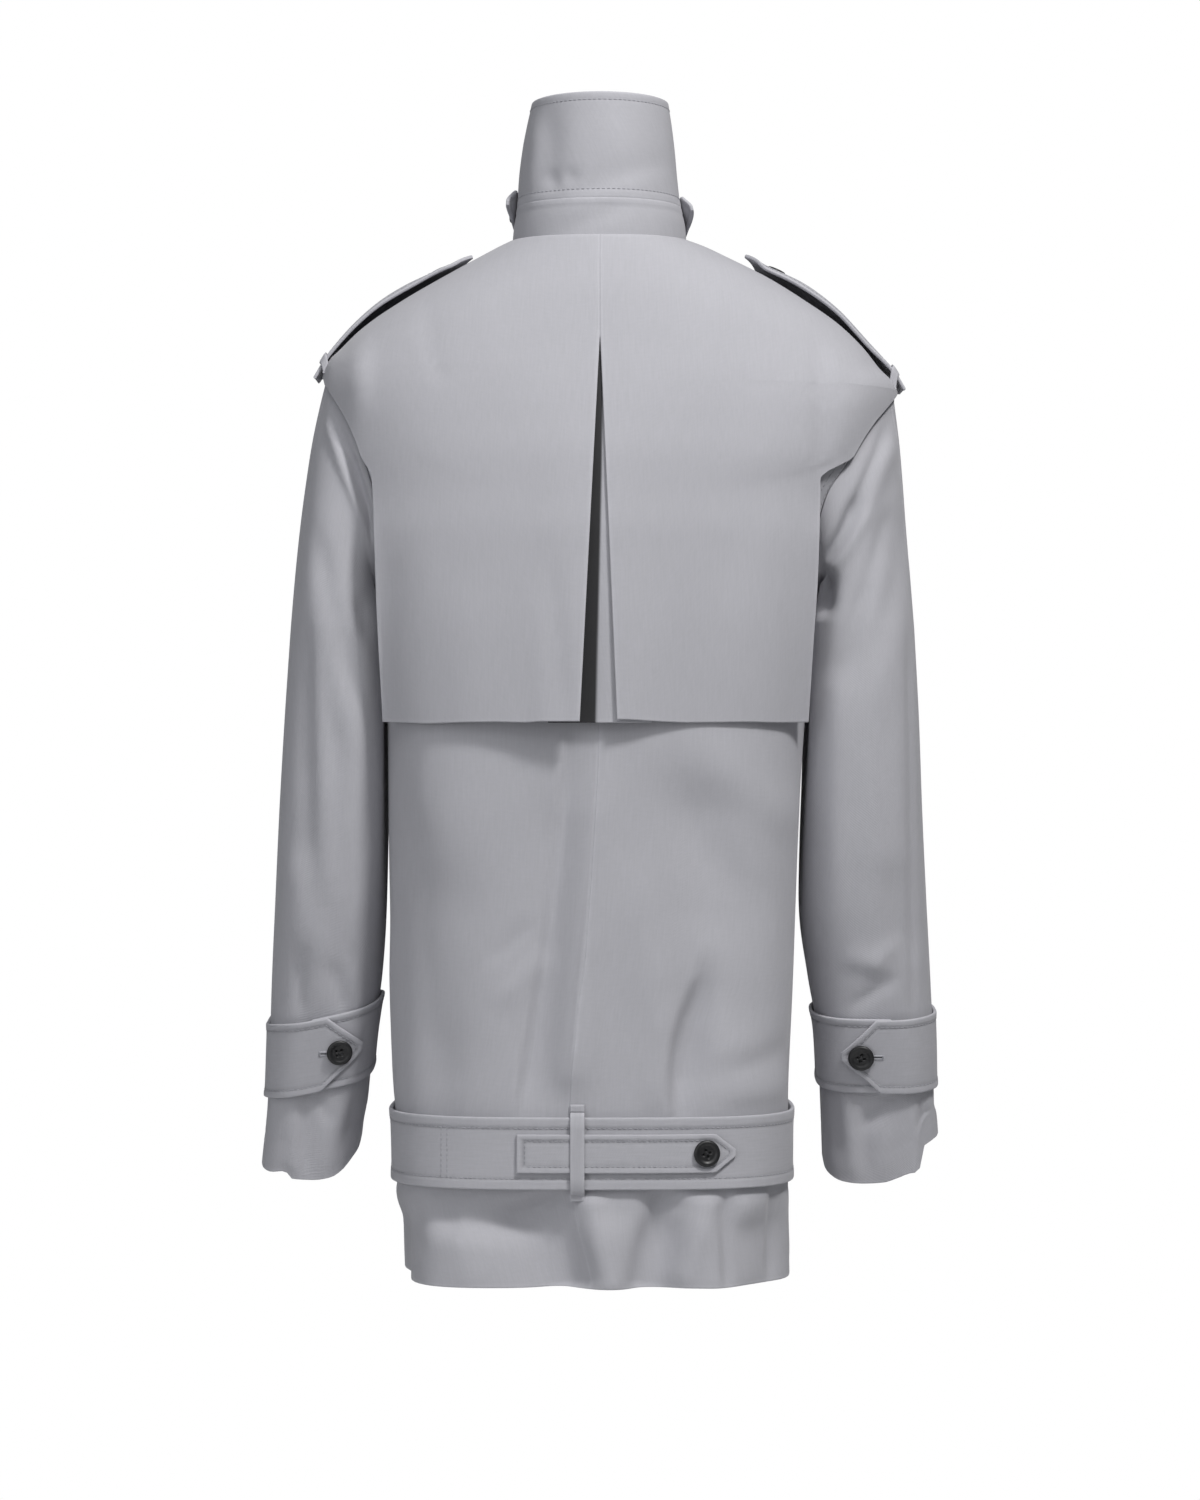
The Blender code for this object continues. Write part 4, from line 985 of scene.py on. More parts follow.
def armhole_point(side, around):
    """A point of the armhole's edge: around is 0 at the shoulder and 180 at the armpit."""
    angle = np.radians(around)
    tip = SHOULDER_TIP[side]
    height = (tip + ARMPIT) / 2 + (tip - ARMPIT) / 2 * np.cos(angle)
    deep = np.where(np.sin(angle) >= 0, ARMHOLE_DEPTH["back"], ARMHOLE_DEPTH["front"])
    y = deep * np.sin(angle)
    turn = side * bearing(body_side(side, y, height), y)
    return body_point(turn, height), body_normal(turn, height)


def tube_point(side, around, down):
    """A point of the sleeve below the armpit, on a ring that tilts with the forearm."""
    rows = SLEEVE[side]
    outer, inner = read(rows, "outer", down), read(rows, "inner", down)
    angle = np.radians(around)
    half, deep = (outer - inner) / 2, read(rows, "deep", down)
    square = read(rows, "square", down)
    radius = (abs(np.cos(angle) / half) ** square + abs(np.sin(angle) / deep) ** square) ** (-1 / square)
    back = radius * np.sin(angle)
    tilt = np.radians(read(rows, "tilt", down))
    x = (outer + inner) / 2 + radius * np.cos(angle)
    y = read(rows, "middle", down) + back * np.cos(tilt)
    return vec(side * x, y, -down - back * np.sin(tilt))


def off_seam(side, around):
    """The direction that leads from a panel's edge into the armhole, along the body's surface."""
    before, _ = armhole_point(side, around - 1)
    after, _ = armhole_point(side, around + 1)
    _, normal = armhole_point(side, around)
    return unit(side * np.cross(after - before, normal))


def sleeve_folds(side, around, z):
    """How far the folds of the solids move the sleeve's cloth out."""
    rows = SLEEVE_FOLDS[side]
    out = np.zeros(np.broadcast(around, z).shape)
    for around_top, around_low, top, low, width, size in zip(*rows.values()):
        along = np.clip((-z - top) / (low - top), -0.3, 1.3)
        aside = (around - (around_top + (around_low - around_top) * along) + 180) % 360 - 180
        fade = np.exp(-((2 * along - 1) ** 4))
        out = out + size * fade * hill(aside, 0, width)
    return out


def sleeve_point(side, around, down):
    """down: 0 at the armhole, 1 at the top of the tube below the armpit, 2 at the hem."""
    around, down = np.broadcast_arrays(np.asarray(around, float), np.asarray(down, float))
    start, _ = armhole_point(side, around)
    top = tube_point(side, around, np.full(around.shape, float(TUBE_TOP)))
    length = np.linalg.norm(top - start, axis=-1)[..., None]
    under = (1 - np.cos(np.radians(around))) / 2
    leaving = vec(side * (SHOULDER_SWELL[side] + 0.5 * under), 0, -1 + 0.4 * under) * length
    arriving = vec(side * 0.08, 0, -1) * length
    t = np.clip(down, 0, 1)[..., None]
    rise = top - start
    cap = start + t * leaving + t**2 * (3 * rise - 2 * leaving - arriving)
    cap = cap + t**3 * (leaving + arriving - 2 * rise)
    tube = tube_point(side, around, TUBE_TOP + (SLEEVE_HEM - TUBE_TOP) * np.clip(down - 1, 0, 1))
    point = np.where(down[..., None] < 1, cap, tube)
    angle = np.radians(around)
    folds = sleeve_folds(side, around, point[..., 2]) * ramp(down, 0, 0.25)
    point = point + vec(side * np.cos(angle), np.sin(angle), 0) * folds[..., None]
    body = body_side(side, point[..., 1], point[..., 2]) + 2.0 * ramp(down, 0, 0.2)
    x = side * point[..., 0]
    soft = 6 * ramp(down, 0, 0.3)
    x = (x + body + np.sqrt((x - body) ** 2 + soft**2)) / 2
    point = vec(side * x, point[..., 1], point[..., 2])
    return point + off_seam(side, around) * (SEAM_GAP * (1 - ramp(down, 0, 0.1)))[..., None]


def sleeve_normal(side, around, down):
    """The sleeve's normal; at the shoulder seam it leans to the body's, so the rims match."""
    low, high = np.clip(down - 0.004, 0, 2), np.clip(down + 0.004, 0, 2)
    along = sleeve_point(side, around, high) - sleeve_point(side, around, low)
    across = sleeve_point(side, around + 0.5, down) - sleeve_point(side, around - 0.5, down)
    normal = unit(np.cross(along, across)) * side
    _, on_seam = armhole_point(side, around)
    share = ramp(np.cos(np.radians(around)), -0.25, 0.5) * (1 - ramp(down, 0, 0.1))
    return unit(normal * (1 - share[..., None]) + on_seam * share[..., None])


CUFF_MIDDLE = {LEFT: 645, RIGHT: 646}    # millimetres below the neck, at the sleeve's centre


def sleeve_down(millimetres):
    """The sleeve's down coordinate at a depth below the neck, for the tube below the armpit."""
    return 1 + (millimetres - TUBE_TOP) / (SLEEVE_HEM - TUBE_TOP)


# %% Creases of the sleeves
SLEEVE_CREASES = {
    LEFT: table(
        CREASE,
        (215, -127, 212, -157, 0, 3, 5, 3.0, 0.25),  # drag lines below the armhole
        (213, -152, 181, -236, 1, 4, 5, 3.6, 0.18),
        (207, -146, 194, -184, 0, 4, 8, -7.0, 0.25),
        (195, -179, 177, -241, 0, 5, 9, -9.5, 0.2),
        (196, -108, 193, -133, 0, 8, 6, 2.4, 0.35),
        (220, -245, 191, -367, 2, 7, 8, -3.2, 0.2),
        (209, -288, 199, -401, 3, 6, 7, 2.0, 0.25),
        (223, -312, 219, -431, 0, 5, 8, 2.6, 0.25),  # long folds down the arm
        (232, -320, 235, -494, 0, 8, 7, -2.4, 0.25),
        (217, -423, 209, -535, 3, 8, 8, 2.0, 0.3),
        (229, -415, 228, -526, 0, 8, 6, -1.8, 0.3),
        (188, -288, 183, -320, 0, 5, 6, -4.0, 0.3),
        (188, -320, 193, -573, 3, 9, 11, 3.0, 0.2),  # the squared inner side
        (240, -569, 239, -619, 0, 4, 5, -2.8, 0.25),  # folds above the cuff strap
        (221, -549, 223, -616, 0, 9, 9, 1.8, 0.3),
        (213, -579, 202, -616, 0, 5, 5, -2.8, 0.25),
        (196, -579, 194, -613, 0, 4, 6, 1.8, 0.3),
        (244, -681, 244, -747, 0, 16, 4, 2.4, 0.12),  # the cuff's facets below the strap
        (236, -682, 237, -744, 0, 6, 9, -1.4, 0.2),
        (228, -682, 217, -706, 0, 3, 5, -2.8, 0.3),
        (213, -693, 220, -744, 0, 11, 9, 1.8, 0.25),
        (194, -679, 204, -730, 0, 5, 11, -3.0, 0.2),
    ),
    RIGHT: table(
        CREASE,
        (-231, -130, -220, -162, 0, 5, 5, -3.0, 0.25),  # drag lines below the armhole
        (-226, -159, -199, -220, 0, 5, 6, -3.8, 0.2),
        (-202, -214, -175, -262, -2, 5, 6, -7.0, 0.2),
        (-229, -162, -206, -224, 0, 6, 9, 3.0, 0.2),
        (-207, -222, -177, -268, -2, 6, 7, 3.6, 0.2),
        (-220, -150, -191, -194, 0, 5, 4, 2.2, 0.25),
        (-228, -221, -207, -288, 0, 7, 7, -3.2, 0.2),
        (-207, -285, -185, -349, 0, 6, 6, -3.2, 0.2),
        (-225, -257, -199, -336, 0, 9, 11, 2.2, 0.25),
        (-177, -268, -175, -298, 0, 6, 8, -9.0, 0.3),
        (-188, -296, -187, -526, 0, 9, 9, 2.6, 0.2),  # the squared inner side
        (-228, -367, -220, -494, 3, 13, 13, -1.8, 0.3),
        (-210, -399, -215, -549, -2, 13, 11, 2.0, 0.3),
        (-245, -320, -250, -614, 0, 3, 3, -2.4, 0.12),  # the hind seam's crease
        (-198, -573, -225, -579, 0, 7, 11, 2.4, 0.35),  # folds above the cuff strap
        (-203, -612, -232, -590, 0, 5, 6, -2.8, 0.3),
        (-215, -582, -234, -560, 0, 7, 6, 1.6, 0.3),
        (-179, -635, -191, -641, 0, 2, 2, -1.4, 0.4),
        (-198, -679, -206, -744, 0, 9, 3, 2.2, 0.12),  # the cuff's facets below the strap
        (-188, -681, -191, -731, 0, 6, 7, -2.6, 0.25),
        (-210, -679, -215, -744, 0, 3, 9, -1.2, 0.2),
        (-235, -681, -212, -706, 0, 4, 6, -3.0, 0.3),
        (-225, -707, -228, -747, 0, 11, 11, 1.6, 0.3),
        (-258, -679, -259, -715, 0, 2, 4, -3.0, 0.2),
    ),
}
HEM_RISE = {
    # how much higher a sleeve's edge is than its straight cut, from its inner side to its outer one
    LEFT: table(
        "x rise",
        (183, 20), (192, 19), (198, 15), (208, 5), (217, 0), (231, -2), (248, -1), (254, 5), (266, 3),
    ),
    RIGHT: table(
        "x rise",
        (176, 2), (184, -1), (194, -4), (210, -5), (228, -4), (241, 0), (249, 3), (257, 4), (261, 24),
        (270, 28),
    ),
}
INNER_CREASES = table(
    CREASE,
    (236, -150, 196, -290, -6, 12, 14, -3.4, 0.25),
    (206, -210, 176, -330, -4, 12, 12, -2.8, 0.25),
    (225, -330, 205, -440, 0, 16, 14, -2.2, 0.3),
    (200, -420, 236, -470, 0, 12, 14, -2.8, 0.3),
    (196, -470, 240, -505, 0, 12, 14, -2.4, 0.3),
    (246, -520, 236, -600, 0, 12, 12, 1.8, 0.3),
    (214, -560, 220, -618, 0, 10, 12, -2.0, 0.3),
    (225, -684, 226, -738, 0, 12, 12, -1.8, 0.3),
    (250, -684, 248, -735, 0, 12, 12, 1.6, 0.3),
)


def worn_sleeve(side, around, down):
    """The sleeve's outer face with its creases, and its normal."""
    point, normal = sleeve_point(side, around, down), sleeve_normal(side, around, down)
    x, y, z = np.moveaxis(point, -1, 0)
    behind = ramp(normal[..., 1], 0.0, 0.4)
    ahead = ramp(-normal[..., 1], 0.0, 0.4)
    free = ramp(down, 0.02, 0.16)
    out = behind * pressed(SLEEVE_CREASES[side], x, z) + ahead * pressed(INNER_CREASES, side * x, z)
    held = 1 - 0.75 * np.exp(-(((down - sleeve_down(CUFF_MIDDLE[side])) / 0.085) ** 4))
    raised = read(HEM_RISE[side], "rise", side * x) * ramp(-z, 686, 738)
    return point + vec(0, 0, raised) + normal * (out * free * held)[..., None], normal


# %% Sleeve pieces
for word, side in SIDES:
    for part, start, finish in (("top", INNER_SEAM - 360, HIND_SEAM), ("under", HIND_SEAM, INNER_SEAM)):
        columns = start - 0.05 + (finish - start + 0.1) * shares(165, 3.4)
        cap = np.linspace(0, 1, 42)[:-1] ** 1.15
        tube = 1 + shares(SLEEVE_HEM - TUBE_TOP, 3.6, False, True)
        around, down = np.meshgrid(columns, np.concatenate([cap, tube]))
        outer, normal = worn_sleeve(side, around, down)
        left, right, first, last = edge_distances(outer)
        seams = np.minimum(left, right)
        ease = -0.4 * hill(seams, 0, 1.6) + 0.25 * hill(seams, 3.5, 2.5)
        ease = ease - 0.35 * hill(first, 0, 1.5) - 0.25 * hill(last, 26, 1.4)
        panel(f"sleeve_{word}_{part}", "piece", outer, normal, CLOTH, ease, flush=ramp(last, 0.5, 3))

# %% [markdown]
# ## The back cape and its pleat
# The cape is a second layer over the shoulders, free at its sides and hem, so that rain runs off it
# clear of the back. Its two halves meet in a seam down from the neck, which opens into an inverted
# pleat. It hangs almost flat: only soft pulls at the shoulders and a slight wave at its hem show.

# %% The cape's form
CAPE_LIFT = CLOTH + 0.5
CAPE_EDGE = {
    LEFT: table(
        "height x",
        (-385, 168), (-320, 171), (-255, 173.5), (-207, 175.5), (-161, 180), (-118, 185), (-98, 190.5),
        (-92, 195), (-86, 205),
    ),
    RIGHT: table(
        "height x",
        (-385, 161), (-320, 164.5), (-273, 167.5), (-194, 170.5), (-114, 172.5), (-90, 176), (-78, 181),
        (-71, 190), (-66, 200),
    ),
}
PLEAT_EDGE = {LEFT: 15.5, RIGHT: 13}
UNDERLAY_CLOTH = 1.1


def cape_edge(side, height):
    """The turn of the cape's outer edge: on the shoulder seam, then free down the back."""
    across = read(BODY, side_of(side), height)
    x = np.minimum(read(CAPE_EDGE[side], "x", height), across)
    x = np.where(height >= CAPE_EDGE[side]["height"][-1], across, x)
    return turn_at(side, x, height) - np.degrees(SEAM / 2 / across)


def cape_flare(x):
    """How far the cape stands off at its hem, most of all at the pleat."""
    return 10 + 5 * hill(x, 0, 45)


def cape_point(side, turn, height):
    """The cape rests on the shoulders and hangs flat from them, clear of the sides."""
    point = on_body(side * turn, height, CAPE_LIFT + 0 * turn)
    hangs = ramp(-height, 120, 255)
    x = abs(point[..., 0])
    flat = read(BODY, "back", height) + CAPE_LIFT - 34 * (x / 172) ** 2.6
    away = np.clip(flat - point[..., 1], 0, None) * hangs
    return point + vec(0, away + cape_flare(x) * ramp(-height, 100, 400), 0)


CAPE_STANDS = {
    # at the hem, how much further the cape stands away or hangs down, across the back
    LEFT: table(
        "x away drop",
        (0, 5, 0), (22, 5, 0), (45, 3, 0), (58, 0.5, 0.8), (80, -1, 0.3), (105, -3, 0.6), (132, -8, 1.4),
        (154, -17, 0.5), (170, -26, 0),
    ),
    RIGHT: table(
        "x away drop",
        (0, -2, 0), (16, -3, -1.6), (42, -7.5, -0.2), (68, -10.5, 0.8), (95, -12, 0.5), (116, -14.5, 0.2),
        (135, -20, 0.6), (152, -29, 0.4), (168, -36, 0),
    ),
}


def cape_stand(side, x, height):
    """How far the worn cape stands further off than its solid, growing evenly towards the hem."""
    down = np.clip((-height - 105) / 290, 0, 1)
    evener = np.clip((-height - 100) / 300, 0, 1) ** 1.15 - ramp(-height, 100, 400)
    away = read(CAPE_STANDS[side], "away", side * x)
    return cape_flare(x) * evener + away * down ** (1.3 + 0.8 * ramp(side * x, 90, 140))


def underlay_surface(share, height):
    """The pleat's inner piece: near the cape on the right, and deep in the pleat on the left."""
    opened = np.clip((PLEAT_TOP - height) / (PLEAT_TOP - CAPE_HEM), 0, 1)
    x = share * (6 + 34 * opened)
    turn = turn_at(LEFT, x, height)
    body = body_point(turn, height)[..., 1]
    leftward = ramp(x, -13, 17)
    stand = leftward * cape_stand(LEFT, abs(x), height)
    stand = stand + (1 - leftward) * cape_stand(RIGHT, -abs(x), height)
    room = cape_point(LEFT, turn, height)[..., 1] + stand - body
    raised = 0.4 + 0.45 * ramp(-share, -0.3, 0.45)
    y = body + 0.6 + np.clip(room - UNDERLAY_CLOTH - 1.6, 0, None) * raised
    return vec(x, y, height), vec(0, 1, 0 * x), x


# %% Creases of the cape
CAPE_CREASES = table(
    CREASE,
    (38, -261, 28, -381, 0, 12, 8, -1.6, 0.25),  # the soft hollow above the hem
    (163, -252, 165, -385, 0, 8, 12, -1.4, 0.2),  # the free edge curls
    (-169, -96, -172, -184, 0, 6, 7, -2.0, 0.3),  # pulls at the right shoulder
    (-184, -100, -189, -169, 0, 7, 9, 1.8, 0.3),
    (134, -61, 125, -116, 2, 7, 8, -1.2, 0.35),  # a pull at the left shoulder
    (-104, -284, -109, -380, 0, 17, 20, 1.0, 0.3),
    (100, -292, 103, -384, 0, 18, 18, 1.0, 0.3),
)


def worn_cape(side, turn, height):
    """The cape's inner face and normal as it hangs, with its creases and the wave of its hem."""

    def hung(first, second):
        """The cape's inner face, with its form eased."""
        return smoothed(lambda at, down: cape_point(side, at, down), first, second)

    point = hung(turn, height)
    normal = normal_of(hung, turn, height, 1.5, side)
    x, z = point[..., 0], point[..., 2]
    drop = read(CAPE_STANDS[side], "drop", side * x) * ramp(-height, 335, 385)
    point = point + vec(0, cape_stand(side, x, height), -drop)
    return point + normal * pressed(CAPE_CREASES, x, z)[..., None], normal


# %% Cape halves
CAPE_WIDTH, CAPE_TUCK = 172, 1.0

for word, side in SIDES:
    top = NECK - 0.7
    heights = top + shares(top - CAPE_HEM, 4.0) * (CAPE_HEM - top)
    share, height = np.meshgrid(shares(CAPE_WIDTH, 3.6), with_armhole(side, heights, 4.0)[::-1])
    open_by = np.clip((PLEAT_TOP - height) / (PLEAT_TOP - CAPE_HEM), 0, 1)
    seam = ramp(height, PLEAT_TOP - 4, PLEAT_TOP + 4)
    inside = PLEAT_EDGE[side] * open_by - (CAPE_TUCK if side == LEFT else 0.05) * seam
    start = bearing(inside, read(BODY, "back", height))
    joined = ramp(height, -196, -176)
    edge = cape_edge(side, height)
    edge = edge + joined * np.clip(edge_turn(side, height, "back") - 0.3 - edge, 0, None)
    inner, normal = worn_cape(side, even_turns(share, start, edge, height), height)
    outer = inner + normal * CLOTH
    left, right, first, last = edge_distances(outer)
    ease = -(0.7 if side == LEFT else 0.15) * seam * hill(left, 0, 1.5)
    # Painted shade: the cape's colour is up to 8% darker along its centre seam, where the seam sinks.
    painted_shade = 1 - 0.08 * seam * hill(left, 0, 0.7)
    flush = np.maximum(seam * ramp(-left, -3, -1), joined * ramp(-right, -3, -1))
    panel(f"cape_{word}", "half", outer, normal, CLOTH, ease, painted_shade, flush=flush)

# %% The pleat's inner piece
UNDERLAY_TOP = PLEAT_TOP + 8
heights = UNDERLAY_TOP + shares(UNDERLAY_TOP - CAPE_HEM, 5) * (CAPE_HEM - 1 - UNDERLAY_TOP)
inner, normal, across = underlay_surface(*np.meshgrid(np.linspace(-1, 1, 61), heights))
height = inner[..., 2]
outer = inner + normal * UNDERLAY_CLOTH
# Painted shade: the underlay's left part, deep in the pleat, is darkened to near black as the pleat's
# shadowed cavity; lit_from is where the painted shade begins.
lit_from = read(table("height x", (-381, 3), (-184, -1.5), (-134, -2.4), (-90, -9)), "x", height)
painted_shade = 1 - 0.93 * ramp(across - lit_from, -1.2, 1.2)
panel("cape_underlay", "piece", outer, normal, UNDERLAY_CLOTH, 0.0, painted_shade, held="folded", roll=0.3)

# %% [markdown]
# ## The collar
# The collar is worn turned up, so its stand and its fall make one tall band round the neck. A fold line
# would be pressed between them, and here a row of stitches runs along each side of that seam.
# Doubled cloth keeps it stiff, with a few soft dents at the back.

# %% The collar's form
COLLAR = table(
    "up left right back front",
    (0, 70.5, 69.5, 70, 82),
    (16, 69, 68.5, 69, 80),
    (31, 66.5, 65, 67.5, 78),
    (53, 65.3, 62.3, 66, 76),
    (78, 62.3, 60, 64.5, 74),
    (98, 58.5, 57.5, 63, 73),
    (115, 54.5, 54.7, 62, 72),
)


def collar_point(turn, up):
    """A point of the collar's outer face, some way up from the neck seam."""
    turn, up = np.broadcast_arrays(np.asarray(turn, float), np.asarray(up, float))
    angle = np.radians(turn)
    across, deep = ring_sizes(COLLAR, turn, up)
    radius = ((np.sin(angle) / across) ** 2 + (np.cos(angle) / deep) ** 2) ** -0.5
    return vec(radius * np.sin(angle), radius * np.cos(angle), NECK + up - drop_at_front(turn, NECK))


def collar_normal(turn, up):
    """The collar's outward direction there."""
    return normal_of(collar_point, np.asarray(turn, float), np.clip(up, 0.6, COLLAR_HEIGHT - 0.6))


LATCH_REACH, LATCH_RADIUS = 102, 68  # degrees from the front to each end, and the collar's radius there
LATCH_POINT, LATCH_TIP, LATCH_HALF = 14, 2, 13  # length of its pointed end, half widths of tip and strap


def latch_place(share, across):
    """Where the throat latch lies on the collar: turn, height and how far it stands off."""
    turned = share * LATCH_REACH
    left_over = (LATCH_REACH - abs(turned)) * math.radians(LATCH_RADIUS)
    half = pointed(left_over, LATCH_POINT, LATCH_TIP, LATCH_HALF)
    lift = 0.5 + 7 * ramp(abs(turned), LATCH_REACH - 14, LATCH_REACH)
    return 180 + turned, 30 - 3 * share + across * half, lift


# %% Creases of the collar
COLLAR_CREASES = table(
    CREASE,
    (39, 94, 38, 33, 0, 8, 11, -1.8, 0.3),  # soft dents at the nape
    (42, 49, 35, 38, 0, 6, 6, -1.5, 0.5),
    (26, 50, 20, 40, 0, 5, 6, -1.3, 0.5),
    (20, 33, -47, 57, 0, 8, 13, -1.5, 0.3),
    (31, 2, -20, 21, 0, 8, 9, -1.2, 0.3),
    (-8, 96, -31, 41, 0, 16, 16, 1.0, 0.35),
    (50, 88, 55, 33, 0, 6, 6, 1.4, 0.3),
)
COLLAR_SIDE_CREASES = table(
    CREASE,
    (-30, 105, -20, 40, 0, 12, 14, -1.4, 0.3),
    (20, 100, 28, 50, 0, 12, 12, -1.0, 0.3),
)


def worn_collar(turn, up):
    """The collar's outer face with its creases, and its normal."""
    point, normal = collar_point(turn, up), collar_normal(turn, up)
    x, y, z = np.moveaxis(point, -1, 0)
    behind = ramp(normal[..., 1], 0.05, 0.4)
    sides = pressed(COLLAR_SIDE_CREASES, np.sign(x) * y, z) * (1 - behind)
    return point + normal * (behind * pressed(COLLAR_CREASES, x, z) + sides)[..., None], normal


# %% Stand and fall
for name, bottom, top, gap, row_at in (
    ("collar_stand", SEAM / 2, STAND_HEIGHT + 0.1, lambda up: 0.3 + 0 * up, 6.2),
    ("collar_fall", STAND_HEIGHT - 0.1, COLLAR_HEIGHT, lambda up: 4 + 0.2 * (up - STAND_HEIGHT), 6.5),
):
    heights = bottom + (top - bottom) * shares(top - bottom, 2.4)
    share, up = np.meshgrid(2 * shares(410, 2.8) - 1, heights)
    outer, normal = worn_collar(share * (180 - gap(up)), up)
    left, right, first, last = edge_distances(outer)
    rows = first if name == "collar_fall" else last
    ease = 0.35 * ramp(-rows, -row_at - 1, -row_at + 1) - 0.3 * hill(rows, row_at, 1.0)
    ease = ease - 0.3 * hill(rows, 0, 0.8)
    if name == "collar_fall":
        ease = ease + 0.2 * ramp(-last, -7.2, -5.4) - 0.25 * hill(last, 6.3, 0.9)
    joined = ramp(last, 0.5, 4) if name == "collar_fall" else 1.0
    panel(name, "band", outer, normal, COLLAR_CLOTH, ease, roll=0.8, flush=joined)

# %% The throat latch
turn, up, lift = latch_place(*np.meshgrid(2 * shares(240, 3) - 1, 2 * shares(28, 2) - 1))
point, normal = worn_collar(turn, up)
strap("throat_latch", "strap", point + normal * (lift + DOUBLED)[..., None], normal, DOUBLED, 4.0)

# %% [markdown]
# ## Shoulder straps and their loops
# A strap lies along each shoulder seam, from near the neck to the armhole, where a
# narrow loop holds it. Seen from behind and from low down only its edge shows, with a dark
# gap below it.

# %% Straps along the shoulders
EPAULETTE_HALF = 22
LOOP_WIDTH, LOOP_CLOTH, LOOP_FROM_END = 9, 1.4, 9
EPAULETTE = {
    # the underside of each strap, from the neck to the armhole
    LEFT: table(
        "x under",
        (102, -14), (121, -19.5), (141, -28.5), (170, -45), (193, -64), (214, -88), (227, -111),
    ),
    RIGHT: table(
        "x under",
        (116, -12.5), (135, -20), (154, -29), (187, -53), (213, -80.5), (233, -104), (242, -120),
    ),
}
EPAULETTE_TURNED_UP = {LEFT: 2.5, RIGHT: 1.5}
EPAULETTE_BUTTON = 24  # how far a strap's button is from its end at the neck
STRAP_DROOP = 0.0005


def epaulette_point(side, x, y):
    """A strap's underside; its edges sink a little to the back and the front."""
    rows = EPAULETTE[side]
    neck_end = rows["x"][0]
    z = read(rows, "under", x) - STRAP_DROOP * y**2
    return vec(side * x, y, z + EPAULETTE_TURNED_UP[side] * ramp(-x, -neck_end - 18, -neck_end))


def shoulder_height(side, x, y):
    """Height of the shoulder's cloth over a point of the ground plan."""
    heights = np.linspace(SHOULDER_TIP[side], -2, 200)
    reach = body_side(side, np.full(heights.shape, float(y)), heights)
    return np.interp(x, reach[::-1], heights[::-1])


STRAP_DROP = {
    # how far a strap's rear edge sinks towards the shoulder
    LEFT: table("x drop", (102, 2.5), (121, 4), (150, 5), (180, 5), (205, 4), (227, 0.5)),
    RIGHT: table("x drop", (116, 6), (135, 6.5), (155, 6), (188, 5.5), (213, 5), (242, 1)),
}


def worn_strap(side, x, y):
    """A strap's underside: its front edge lies on the shoulder, and its button pulls it down."""
    point = epaulette_point(side, x, y)
    shoulder = shoulder_height(side, abs(point[..., 0]), -EPAULETTE_HALF)
    front = np.clip(point[..., 2] - shoulder - 1.2, 0, 24)
    sunk = np.where(y > 0, read(STRAP_DROP[side], "drop", x), front)
    across = y / EPAULETTE_HALF
    dimple = 3.6 * hill(x, EPAULETTE[side]["x"][0] + EPAULETTE_BUTTON, 17)
    point[..., 2] -= sunk * abs(across) ** 3 + dimple * np.clip(1 - across**2, 0, 1) ** 2
    return point


def strap_slope(surface, side, x):
    """Which way a strap runs at a distance from the centre, and which way is up from it."""
    slope = surface(side, x + 5, np.float64(0)) - surface(side, x - 5, np.float64(0))
    return unit(slope), unit(np.array([-slope[2] * side, 0, slope[0] * side]))


def loop_surface(side):
    """The strap's loop near the armhole, with its two feet on the shoulder."""
    middle = EPAULETTE[side]["x"][-1] - LOOP_FROM_END
    over = DOUBLED + 0.8
    slope, up = strap_slope(worn_strap, side, middle)
    stations = [(EPAULETTE_HALF + 6, None), (EPAULETTE_HALF + 3.5, None), (EPAULETTE_HALF + 1.2, over - 1)]
    stations += [(EPAULETTE_HALF * part, over + 0.3) for part in (0.93, 0.85, 0.75, 0.6, 0.4)]
    stations += [(-y, rise) for y, rise in reversed(stations)]
    rows = []
    for along in (np.linspace(0, 1, 7) - 0.5) * LOOP_WIDTH:
        row = []
        for y, rise in stations:
            base, ahead, behind = (worn_strap(side, middle, np.float64(y + step)) for step in (0, 0.5, -0.5))
            base = base + slope * along
            if rise is None:
                foot = 1.0 if abs(y) > EPAULETTE_HALF + 5 else 1.8
                base[2] = shoulder_height(side, abs(base[0]), y) + foot
            else:
                sideways = ahead - behind
                square = unit(up - sideways * (up @ sideways) / (sideways @ sideways))
                base = base + square * rise
            row.append(base)
        rows.append(row)
    rows = np.array(rows)
    run = np.concatenate([[0], np.cumsum(np.linalg.norm(np.diff(rows[3], axis=0), axis=-1))])
    number = np.arange(len(run))
    places = np.interp(np.linspace(0, run[-1], 56), run, number)
    inner = [np.stack([np.interp(places, number, row[:, k]) for k in range(3)], -1) for row in rows]
    return np.array(inner), unit(np.cross(np.gradient(inner, axis=1), slope)) * side


for word, side in SIDES:
    start, finish = EPAULETTE[side]["x"][[0, -1]]
    x, across = np.meshgrid(start + (finish - start) * shares(finish - start, 3.5), 2 * shares(44, 2.6) - 1)
    y = across * pointed(x - start, 13, 2.5, EPAULETTE_HALF)

    def surface(first, second):
        """This strap's underside."""
        return worn_strap(side, first, second)

    normal = normal_of(surface, x, y, 0.4, -side)
    ripple = 0.35 * np.sin(x / 9.0) * (across**2)
    outer = surface(x, y) + normal * (DOUBLED + ripple)[..., None]
    strap(f"epaulette_{word}", "strap", outer, normal, DOUBLED, 5.0)
    inner, normal = loop_surface(side)
    strap(f"epaulette_loop_{word}", "strap", inner + normal * LOOP_CLOTH, normal, LOOP_CLOTH, roll=0.4)

